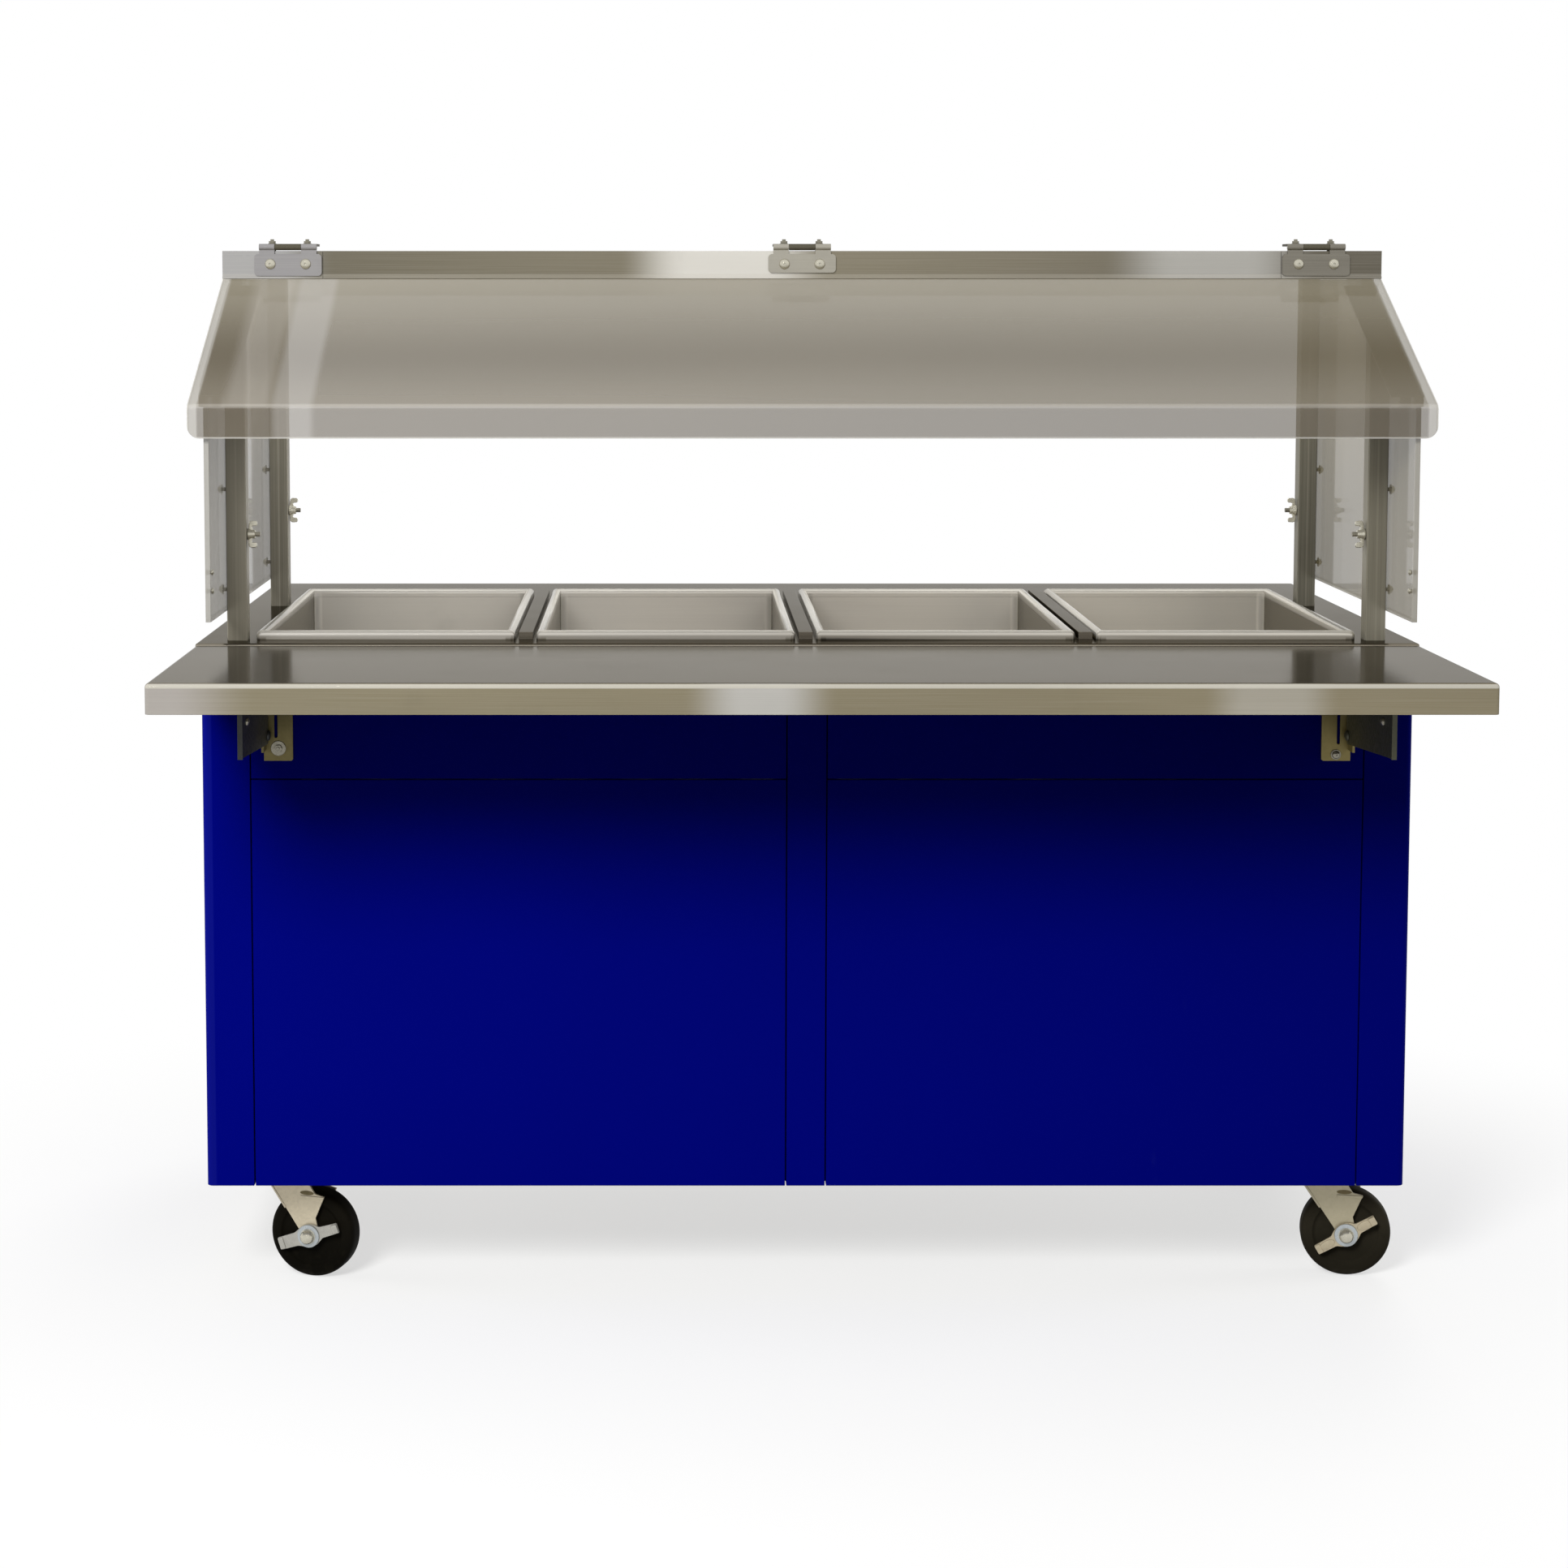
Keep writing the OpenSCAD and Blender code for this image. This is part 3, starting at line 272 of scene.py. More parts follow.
def near(value, low, high, soft):
    """1 from low to high and 0 away from them, over a soft margin."""
    return value.step(low - soft, low) * (1 - value.step(high, high + soft))


def reflection_bands(made, colour, bands):
    """Painted reflections: lighter bands, as a room gives a long sheet: start and end in X, soft
    margin, colour.
    """
    x = made.axis("X")
    for low, high, soft, tone in bands:
        colour = made.mix(near(x, low, high, soft), colour, tone)
    return colour


def top_metal(flat, more):
    """A flat top reflects less white at a low angle than the faces below it."""
    return lambda made: made.axis("Z").step(*flat) * more + 0.5


def counter_top_shade(made, colour):
    """The flat of the counter is painted darker than its bars and edges, as painted shade."""
    flat = made.axis("Z").step(*COUNTER_FLAT)
    return made.mix(flat * 0.2, colour, (0.02, 0.017, 0.008))


def shelf_painted_light(made, colour):
    """Painted light on the shelf: a darker top as painted shade, its face has its own tone with
    painted reflections in bands, and a painted highlight on its rolled top edge.
    """
    y, z = made.axis("Y"), made.axis("Z")
    # painted shade: the top takes a darker tone
    colour = made.mix(z.step(*SHELF_FLAT), colour, tone_along(made, SHELF_TOP_SHADE))
    face = 1 - y.step(*SHELF_FACE)
    # painted reflections in bands across the face
    colour = made.mix(face, colour, reflection_bands(made, tone_along(made, FACE), FACE_REFLECTIONS))
    # painted highlight on the rolled top edge
    rolled = near(z, *SHELF_ROLL, 0.001) * face
    return made.mix(rolled * 0.9, colour, srgb(196, 192, 180))


def rail_painted_light(made, colour):
    """Painted reflections in lighter bands, and a painted highlight on the hem along the rail's
    foot.
    """
    colour = reflection_bands(made, colour, RAIL_REFLECTIONS)
    # painted highlight on the hem
    hem = 1 - made.axis("Z").step(*RAIL_FOOT)
    return made.mix(hem * 0.2, colour, srgb(205, 200, 188))


def tube_painted_light(made, colour):
    """Square tube: painted highlights in streaks down each face, on the corners and along the
    seam, and painted shade on the rear posts.
    """
    x, y = made.axis("X"), made.axis("Y")
    across = (x.size() - POST_X * MM).size()
    streak = made.noise((160, 160, 2.2), 1.0, 2.0).step(0.5, 0.72)
    corner = across.step(0.0105, 0.0125)
    seam = 1 - across.step(0.0006, 0.0018)
    # painted shade on the rear posts
    colour = made.mix(y.step(-0.1, 0.2) * 0.52, colour, srgb(60, 58, 48))
    # painted highlights: streaks, corners and seam
    return made.mix(streak * 0.12 + corner * 0.15 + seam * 0.2, colour, srgb(176, 171, 156))


def well_painted_light(made, colour):
    """Drawn well: painted highlight on the rolled rim, painted shade in the corners and on the
    side walls.
    """
    x, z = made.axis("X"), made.axis("Z")
    across = ((x / (WELL_PITCH * MM)).rest() - 0.5).size()
    # painted shade in the corners and on the side walls
    corner = across.step(0.4015, 0.4275) * (1 - z.step(0.832, 0.838))
    colour = made.mix(corner * 0.35, colour, srgb(96, 92, 80))
    side = across.step(0.4272, 0.4284) * (1 - z.step(0.8345, 0.8405))
    colour = made.mix(side * 0.8, colour, srgb(104, 97, 82))
    # painted highlight on the rolled rim
    return made.mix(z.step(*WELL_RIM) * 0.65, colour, srgb(205, 202, 193))


def blue_coat():
    """Smooth deep blue coating: faint orange peel and dust low down, with painted light making it
    lighter to the left and towards the bottom, and a painted highlight on the left stile's front
    edge.
    """
    made = Finish("blue_coat", Specular_IOR_Level=0.015)
    x, y, z = (made.axis(a) for a in "XYZ")
    peel = made.noise((1, 1, 1), 420.0, 2.0)
    cloud = made.noise((2.2, 2.2, 2.2), 1.0, 3.0)
    scuff = made.noise((40, 40, 9), 1.0, 5.0, 0.65)
    low = 1 - z.step(0.14, 0.5)
    # painted light: lighter towards the left
    colour = tone_along(made, [(-760, (0.0, 0.0014, 0.176)), (760, (0.0, 0.0012, 0.128))])
    colour = made.mix((1 - cloud.step(0.3, 0.7)) * 0.1, colour, (0, 0.001, 0.05))
    # painted light: lighter towards the bottom
    colour = made.mix((1 - z.step(0.25, 0.62)) * 0.22, colour, (0, 0.0018, 0.25))
    # painted highlight along the left stile's front edge
    end = near(x, *LEFT_STILE, 0.002) * (1 - y.step(-0.199, -0.19))
    colour = made.mix(end, colour, (0.003, 0.005, 0.205))
    colour = made.mix(scuff.step(0.66, 0.82) * (low * 0.06 + 0.015), colour, (0.05, 0.06, 0.26))
    made.set(
        Base_Color=colour,
        Roughness=(cloud - 0.5) * 0.12 + scuff.step(0.6, 0.8) * 0.08 + 0.46,
        Normal=made.bump(peel, 0.06, 0.12 * MM),
    )
    return made.material


def clear_sheet(name, stops, alpha, extra):
    """Clear sheet painted warm grey for the room seen through it, with a faint haze and frosted
    cut edges.
    """
    made = Finish(name, Specular_IOR_Level=0.15, Roughness=0.06)
    haze = made.noise((1.2, 3, 3), 1.0, 3.0, 0.5)
    colour, cover = extra(made, tone_along(made, stops), alpha)
    colour = made.mix((haze - 0.5) * 0.25 + 0.12, colour, BLACK)
    made.set(Base_Color=colour, Alpha=cover)
    return made.material


def guard_tones(made, colour, cover):
    """The slope has painted reflections and is darkest half way down, the lip has its own tone,
    cut edges are frosted and partly a painted glow.
    """
    x, z = made.axis("X"), made.axis("Z")
    # painted reflections: lighter on the upper and lower slope
    high = z.step(1.185, 1.315)
    low = 1 - z.step(1.130, 1.205)
    colour = made.mix(high * 0.56, colour, (0.62, 0.575, 0.45))
    colour = made.mix(low * 0.32, colour, (0.52, 0.475, 0.39))
    lip = 1 - z.step(1.1360, 1.1395)
    colour = made.mix(lip, colour, (0.20, 0.172, 0.13))
    # painted highlight along the bend
    bend_highlight = near(z, 1.1365, 1.1400, 0.0015)
    colour = made.mix(bend_highlight * 0.28, colour, srgb(228, 224, 216))
    # painted glints near the left end
    glint = near(x, -0.648, -0.612, 0.012)
    colour = made.mix(glint * 0.26, colour, (0.8, 0.78, 0.76))
    glint = near(x, -0.702, -0.668, 0.02) * (1 - lip)
    colour = made.mix(glint * 0.2, colour, (0.8, 0.76, 0.7))
    # lighter ends and cut edges: frosted, their whiteness partly a painted glow
    end = x.size().step(0.7440, 0.7470)
    colour = made.mix(end * 0.55, colour, srgb(222, 219, 212))
    cut = x.size().step(0.7552, 0.7562)
    foot = 1 - z.step(1.1000, 1.1015)
    edge = cut.most(foot * 0.8)
    cover = (1 - lip) * 0.13 + cover
    return made.mix(edge * 0.8, colour, srgb(225, 223, 216)), cover.most(edge * 0.85)


def end_tones(made, colour, cover):
    """End panels: frosted edges, their whiteness partly a painted glow, painted light on the front
    part, more on the left, and painted shade on the rear.
    """
    y, z = made.axis("Y"), made.axis("Z")
    edge = (1 - y.step(-0.2975, -0.2925)).most(1 - z.step(0.8755, 0.8785))
    front = 1 - y.step(-0.170, -0.155)
    left = 1 - made.axis("X").step(-0.1, 0.1)
    # painted light: the front part is lighter, more so on the left
    colour = made.mix(front * (left * 0.27 + 0.14), colour, (0.6, 0.58, 0.52))
    # painted shade: the rear is darker
    colour = made.mix(y.step(-0.12, 0.05) * 0.4, colour, (0.02, 0.015, 0.0))
    return made.mix(edge * 0.35, colour, (0.6, 0.59, 0.55)), edge * 0.15 + cover


def zinc_plate(name, tone, rough=0.38, metal=0.6, low=None, right=None):
    """Zinc plated steel: small spangles and rubbed spots, with painted shade and painted light
    where given.

    low is two heights and the colour of painted shade that it turns to between them; right is the
    painted light or shade that its pieces near +X turn to.
    """
    made = Finish(name)
    spangle = made.node("ShaderNodeTexVoronoi", {}, made.place(), Scale=300.0, out="Color")
    speck = made.node("ShaderNodeSeparateColor", {}, spangle, out=0)
    cloud = made.noise((30, 30, 30), 1.0, 3.0)
    colour = made.mix(speck * 0.3, tone, shade(tone, 0.75))
    colour = made.mix(cloud.step(0.55, 0.8) * 0.35, colour, shade(tone, 1.35))
    # painted light or shade near +X
    if right:
        colour = made.mix(made.axis("X").step(*LEFT_TO_RIGHT) * 0.6, colour, right)
    # painted shade, darker above the two heights
    if low:
        start, end, dull = low
        colour = made.mix(made.axis("Z").step(start, end) * 0.8, colour, dull)
    made.set(
        Base_Color=colour,
        Metallic=metal,
        Roughness=speck * 0.12 + cloud * 0.1 + (rough - 0.1),
        Normal=made.bump(cloud, 0.12, 0.1 * MM),
    )
    return made.material


def black_rubber(name, tone, rough, high=0.09):
    """Hard black rubber: fine pitting, grey scuffs, dust near the floor, painted shade low down
    and painted light that makes it greyer near +X.
    """
    made = Finish(name, Specular_IOR_Level=0.03)
    z = made.axis("Z")
    pit = made.noise((1, 1, 1), 700.0, 3.0, 0.6)
    scuff = made.noise((60, 60, 60), 1.0, 4.0, 0.6)
    dust = (1 - z.step(0.0, 0.012)) * scuff.step(0.4, 0.7)
    # painted shade: darker low down, below high
    colour = made.mix(z.step(0.02, high), shade(tone, 0.45), tone)
    # painted light: greyer near +X
    grey = made.mix(z.step(0.02, high), shade(tone, 2.2), shade(tone, 4.0))
    colour = made.mix(made.axis("X").step(*LEFT_TO_RIGHT), colour, grey)
    colour = made.mix(scuff.step(0.5, 0.75) * 0.35, colour, shade(tone, 1.8))
    colour = made.mix(dust * 0.35, colour, (0.09, 0.08, 0.065))
    made.set(
        Base_Color=colour,
        Roughness=scuff * 0.2 + (rough - 0.1),
        Normal=made.bump(pit, 0.2, 0.2 * MM),
    )
    return made.material


def moulded(name, tone, rough, texture=0.2):
    """Moulded plastic with a fine spark texture."""
    made = Finish(name)
    spark = made.noise((1, 1, 1), 1500.0, 2.0, 0.6)
    cloud = made.noise((50, 50, 50), 1.0, 2.0)
    made.set(
        Base_Color=made.mix(cloud, shade(tone, 0.85), shade(tone, 1.2)),
        Roughness=cloud * 0.1 + (rough - 0.05),
        Normal=made.bump(spark, texture, 0.08 * MM),
    )
    return made.material


def brass_pipe():
    """Dull brass with brown tarnish."""
    made = Finish("brass_pipe", Metallic=0.8)
    tarnish = made.noise((25, 25, 25), 1.0, 4.0, 0.6)
    made.set(
        Base_Color=made.mix(tarnish.step(0.4, 0.7), (0.50, 0.36, 0.16), (0.24, 0.16, 0.09)),
        Roughness=tarnish * 0.3 + 0.25,
        Normal=made.bump(tarnish, 0.1, 0.1 * MM),
    )
    return made.material


# Tones along X, in millimetres, and the lighter bands over them, in metres. The changes along X
# are painted light: most pieces are lighter towards the left, the rail and hinge leaves lighter in
# the middle, the outer wells lighter, the shelf's top darker as painted shade; the bands are
# painted reflections
SHEET = [(-760, srgb(145, 138, 125)), (0, srgb(140, 132, 120)), (760, srgb(130, 122, 108))]
SHELF_TOP_SHADE = [(-760, srgb(135, 129, 117)), (0, srgb(132, 126, 114)), (760, srgb(112, 104, 88))]
FACE = [(-760, srgb(132, 124, 102)), (760, srgb(132, 123, 100))]
FACE_REFLECTIONS = [
    (-0.85, -0.74, 0.10, srgb(165, 160, 154)),
    (-0.09, -0.05, 0.07, srgb(182, 180, 174)),
    (0.48, 0.54, 0.05, srgb(158, 153, 140)),
]
RAIL = [(-760, srgb(105, 100, 86)), (0, srgb(135, 128, 110)), (760, srgb(100, 95, 84))]
RAIL_REFLECTIONS = [
    (-0.85, -0.69, 0.08, srgb(170, 169, 168)),
    (-0.15, -0.05, 0.09, srgb(218, 215, 207)),
    (0.49, 0.58, 0.10, srgb(176, 174, 168)),
]
WELL = [(-700, srgb(205, 201, 193)), (0, srgb(178, 173, 164)), (700, srgb(200, 195, 184))]
BACK = [(-760, srgb(168, 164, 154)), (760, srgb(160, 156, 146))]
TUBE = [(-720, srgb(138, 133, 119)), (720, srgb(126, 122, 108))]
ARM = [(-700, srgb(140, 132, 120)), (700, srgb(110, 102, 86))]
PLATE = [(0, srgb(84, 80, 66)), (1, srgb(84, 80, 66))]
LEAF = [(-670, srgb(155, 153, 154)), (0, srgb(170, 166, 154)), (670, srgb(124, 120, 110))]
# the clear sheets' warm tones are painted: they stand for the room seen through them
CLEAR = [(-757, (0.180, 0.150, 0.098)), (757, (0.168, 0.134, 0.070))]
CLEAR_END = [(-740, (0.185, 0.170, 0.145)), (740, (0.165, 0.138, 0.078))]
finish = {
    "shelf": brushed(
        "brushed_shelf", SHEET, "X", 0.13, top_metal(SHELF_FLAT, 0.3), extra=shelf_painted_light
    ),
    "sheet_along": brushed(
        "brushed_sheet_along", SHEET, "X", 0.14, top_metal(COUNTER_FLAT, 0.5), extra=counter_top_shade
    ),
    "rail": brushed("brushed_rail", RAIL, "X", 0.3, extra=rail_painted_light),
    "pan": brushed("brushed_pan", SHEET, "X", 0.25),
    "sheet_back": brushed("brushed_sheet_back", BACK, "X", 0.28, 0.7),
    "well": brushed("drawn_well", WELL, "X", 0.14, 0.6, 0.08, extra=well_painted_light),
    "tube": brushed("dull_tube", TUBE, "Z", 0.3, 0.5, 0.1, extra=tube_painted_light),
    "arm": brushed("arm_plate", ARM, "Y", 0.3),
    "plate": brushed("dark_plate", PLATE, "Y", 0.38),
    "blue": blue_coat(),
    "clear": clear_sheet("clear_guard", CLEAR, 0.53, guard_tones),
    "clear_end": clear_sheet("clear_end", CLEAR_END, 0.6, end_tones),
    # painted shade: the forks and caster plates are darker near +X
    "zinc": zinc_plate("zinc_plate", srgb(202, 191, 166), right=srgb(158, 151, 124)),
    "leaf": brushed("hinge_leaf", LEAF, "X", 0.32, 0.5, 0.12),
    "lever": zinc_plate("zinc_lever", srgb(186, 174, 148), 0.34),
    "pale_lever": zinc_plate("pale_lever", srgb(174, 172, 164), 0.3, 0.6),
    # painted shade: the stamped slot is dark as the shade in its hollow
    "slot": zinc_plate("slot_painted_shade", srgb(136, 122, 84), 0.6, 0.2),
    "dome": zinc_plate("bright_dome", srgb(196, 192, 176), 0.24, 0.7),
    "washer": zinc_plate("blued_washer", srgb(178, 184, 186), 0.3, 0.7),
    "screw": zinc_plate("screw_steel", srgb(140, 136, 122), 0.28, 0.7),
    # painted shade towards the top, under the shelf, and painted light near +X
    "bracket": zinc_plate(
        "dull_bracket", srgb(110, 99, 54), 0.4, 0.4, (0.71, 0.78, srgb(64, 58, 28)),
        srgb(142, 128, 74),
    ),
    # painted light: lighter near +X
    "shelf_arm": zinc_plate("dull_arm", srgb(47, 48, 46), 0.42, 0.4, right=srgb(84, 84, 62)),
    # painted light near +X on both; on the tread also painted shade low down
    "tread": black_rubber("black_tread", srgb(20, 18, 13), 0.62),
    "bumper": black_rubber("black_bumper", srgb(34, 32, 29), 0.7, 0.03),
    "black": moulded("black_moulding", (0.020, 0.020, 0.021), 0.4),
    "mark": moulded("white_marks", (0.70, 0.70, 0.68), 0.5, 0.02),
    "amber": moulded("amber_lens", (0.75, 0.20, 0.02), 0.2, 0.02),
    "red": moulded("red_moulding", (0.36, 0.02, 0.02), 0.35, 0.05),
    "brass": brass_pipe(),
}


# Pieces
MERGE = 1e-6
FLAT = math.radians(0.5)
SHARP = math.radians(32)
AREA_WEIGHT = 80


def put(mesh, name, key, body, replaces=(), smooth=35.0):
    """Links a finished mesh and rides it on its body.

    Its normals are weighted by area, so that a soft edge doesn't bend the flat beside it.
    """
    for face in mesh.polygons:
        face.use_smooth = True
    mesh.set_sharp_from_angle(angle=math.radians(smooth))
    piece = bpy.data.objects.new(name, mesh)
    bpy.context.scene.collection.objects.link(piece)
    mesh.materials.clear()
    mesh.materials.append(finish[key])
    flat = piece.modifiers.new("flat_normals", "WEIGHTED_NORMAL")
    flat.mode = "FACE_AREA"
    flat.weight = AREA_WEIGHT
    flat.keep_sharp = True
    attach(piece, body)
    if replaces:
        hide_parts(*replaces)


def paint_node(name, key):
    """Gives a CAD node itself the finish of the piece that replaces it."""
    nodes[name].data.materials.clear()
    nodes[name].data.materials.append(finish[key])


def softened(name, key, passes):
    """A merged copy of a CAD node with its sharp edges rounded, as folded sheet has.

    Each pass is a radius in millimetres, its segments and a test of an edge, which is
    given the edge's middle in millimetres and the edge.
    """
    bm = bmesh.new()
    bm.from_mesh(nodes[name].data)
    bmesh.ops.remove_doubles(bm, verts=bm.verts, dist=MERGE)
    bmesh.ops.dissolve_limit(bm, angle_limit=FLAT, verts=bm.verts, edges=bm.edges)
    for width, segments, test in passes:
        sharp = [
            e for e in bm.edges
            if e.is_manifold and e.calc_face_angle(0) > SHARP
            and (test is None or test((e.verts[0].co + e.verts[1].co) * 500, e))
        ]
        if sharp:
            bmesh.ops.bevel(
                bm, geom=sharp, offset=width * MM, offset_type="OFFSET", affect="EDGES",
                segments=segments, profile=0.5, material=-1, clamp_overlap=True,
            )
    bmesh.ops.triangulate(bm, faces=[f for f in bm.faces if len(f.verts) > 4])
    mesh = bpy.data.meshes.new(name + "_dressed")
    bm.to_mesh(mesh)
    bm.free()
    paint_node(name, key)
    put(mesh, name + "_dressed", key, body_of[name], [name])


TURNS = {
    "Z": Matrix.Identity(4), "-Z": Matrix.Rotation(math.pi, 4, "X"),
    "Y": Matrix.Rotation(-math.pi / 2, 4, "X"), "-Y": Matrix.Rotation(math.pi / 2, 4, "X"),
    "X": Matrix.Rotation(math.pi / 2, 4, "Y"), "-X": Matrix.Rotation(-math.pi / 2, 4, "Y"),
}


def turned(degrees, axis="Z"):
    """A turn about an axis."""
    return Matrix.Rotation(math.radians(degrees), 4, axis)


def at(x=0, y=0, z=0, along="Z"):
    """Where a form goes, in millimetres: its own Z points along an axis."""
    return Matrix.Translation((x, y, z)) @ TURNS[along]


def mirrored(side):
    """The right hand side as it is, for -1 the left one."""
    return Matrix.Diagonal((side, 1, 1, 1))


def oval(wide, high):
    """Stretches a turned form into an oval one."""
    return Matrix.Diagonal((wide, high, 1, 1))


def standing(outline):
    """An outline of x and height, for a form that points along Y."""
    return [(x, -z) for x, z in outline]


class Shape:
    """A mesh built from turned, blocked and cut forms, in millimetres.

    Each form has its place, and frame moves them all.
    """

    def __init__(self, frame=Matrix.Identity(4)):
        self.bm = bmesh.new()
        self.frame = frame

    def _keep(self, part, place):
        """Merges a form, puts it in its place and adds it to the mesh."""
        bmesh.ops.remove_doubles(part, verts=part.verts, dist=0.001)
        part.transform(self.frame @ place)
        bmesh.ops.recalc_face_normals(part, faces=part.faces)
        mesh = bpy.data.meshes.new("form")
        part.to_mesh(mesh)
        part.free()
        self.bm.from_mesh(mesh)
        bpy.data.meshes.remove(mesh)
        return self

    def _soften(self, part, radius, segments):
        """Rounds every edge of a form that isn't nearly flat."""
        if radius:
            bmesh.ops.bevel(
                part, geom=[e for e in part.edges if e.calc_face_angle(0) > 0.5],
                offset=radius, offset_type="OFFSET", affect="EDGES", segments=segments,
                profile=0.5, material=-1, clamp_overlap=True,
            )

    def lathe(self, profile, place, sides=48, radius=0.0, closed=False):
        """Turns a profile of radius and height about the form's own Z."""
        part = bmesh.new()
        ring = [part.verts.new((r, 0, h)) for r, h in profile]
        pairs = list(zip(ring, ring[1:])) + ([(ring[-1], ring[0])] if closed else [])
        edges = [part.edges.new(pair) for pair in pairs]
        bmesh.ops.spin(
            part, geom=ring + edges, cent=(0, 0, 0), axis=(0, 0, 1), dvec=(0, 0, 0),
            angle=2 * math.pi, steps=sides, use_merge=True, use_duplicate=False,
        )
        bmesh.ops.remove_doubles(part, verts=part.verts, dist=0.001)
        self._soften(part, radius, 2)
        return self._keep(part, place)

    def block(self, low, high, place=Matrix.Identity(4), radius=0.6, segments=2):
        """A box between two corners, with its edges rounded."""
        part = bmesh.new()
        size = [h - l for l, h in zip(low, high)]
        middle = [(h + l) / 2 for l, h in zip(low, high)]
        bmesh.ops.create_cube(
            part, size=1, matrix=Matrix.Translation(middle) @ Matrix.Diagonal((*size, 1))
        )
        self._soften(part, radius, segments)
        return self._keep(part, place)

    def cut(self, outline, thick, place, corner=0.0, radius=0.4):
        """Extrudes an outline along the form's own Z, with round corners and soft edges."""
        part = bmesh.new()
        face = part.faces.new([part.verts.new((x, y, 0)) for x, y in outline])
        if corner:
            bmesh.ops.bevel(
                part, geom=list(face.verts), offset=corner, offset_type="OFFSET",
                affect="VERTICES", segments=5, profile=0.5, material=-1, clamp_overlap=True,
            )
        made = bmesh.ops.extrude_face_region(part, geom=list(part.faces))
        raised = [v for v in made["geom"] if isinstance(v, bmesh.types.BMVert)]
        bmesh.ops.translate(part, verts=raised, vec=(0, 0, thick))
        bmesh.ops.recalc_face_normals(part, faces=part.faces)
        self._soften(part, radius, 2)
        return self._keep(part, place)

    def rod(self, radius, length, place, sides=32, soft=0.4):
        """A round bar with chamfered ends."""
        s = min(soft, radius * 0.6, length * 0.4)
        return self.lathe(
            [(0, 0), (radius - s, 0), (radius, s), (radius, length - s), (radius - s, length),
             (0, length)], place, sides
        )

    def washer(self, radius, hole, thick, place):
        """A flat ring with chamfered rims."""
        s = thick * 0.3
        return self.lathe(
            [(hole, 0), (radius - s, 0), (radius, s), (radius, thick - s), (radius - s, thick),
             (hole, thick)], place, 48, closed=True
        )

    def nut(self, radius, thick, place):
        """Six-sided nut with soft edges."""
        return self.lathe([(0, 0), (radius, 0), (radius, thick), (0, thick)], place, 6, 0.45)

    def dome(self, radius, high, place, pit=0.0):
        """Round screw head, with a driver pit of a given radius if it has one."""
        steps = 7
        ring = [
            (radius * math.cos(a), high * math.sin(a))
            for a in (math.pi / 2 * i / steps for i in range(steps + (0 if pit else 1)))
        ]
        if pit:
            ring += [(pit, high * 0.985), (pit * 0.72, high * 0.5), (0, high * 0.42)]
        return self.lathe([(0, 0)] + ring, place, 40)

    def done(self, name, key, body, replaces=(), smooth=32.0):
        """Makes the piece, in metres."""
        self.bm.transform(Matrix.Scale(MM, 4))
        mesh = bpy.data.meshes.new(name)
        self.bm.to_mesh(mesh)
        self.bm.free()
        for node in replaces:
            paint_node(node, key)
        put(mesh, name, key, body, replaces, smooth)


# Folded sheet, tube and clear panels, from the CAD nodes. A test's m is in millimetres
COUNTER_TRAY = (836, 768.5, -202, 560)
SHELF_TRAY = (834, 768.5, -560, -204)


def outer_top(z_top, half, y0, y1):
    """An outer top edge of a tray."""
    return lambda m, e: m.z > z_top - 0.3 and (
        abs(m.x) > half - 6 or m.y < y0 + 6 or m.y > y1 - 6
    )


def inner_top(z_top, half, y0, y1):
    """The edge inside a tray's top fold."""
    return lambda m, e: z_top - 2.3 < m.z < z_top - 1.7 and (
        abs(m.x) > half - 8 or m.y < y0 + 8 or m.y > y1 - 8
    )


def stile_corner(m, e):
    """The cabinet's four upright corners."""
    return abs(m.x) > 761 and abs(m.z - 487) < 10 and (m.y < -199 or m.y > 534)


def guard_bend(m, e):
    """The guard's two bends, which run its whole width."""
    return abs(m.x) < 1 and (
        (abs(m.y + 307) < 6 and 1128 < m.z < 1142) or (abs(m.y + 6) < 4 and 1280 < m.z < 1296)
    )


def upright(m, e):
    """The long edges of the posts."""
    return abs(e.verts[0].co.z - e.verts[1].co.z) > 0.2


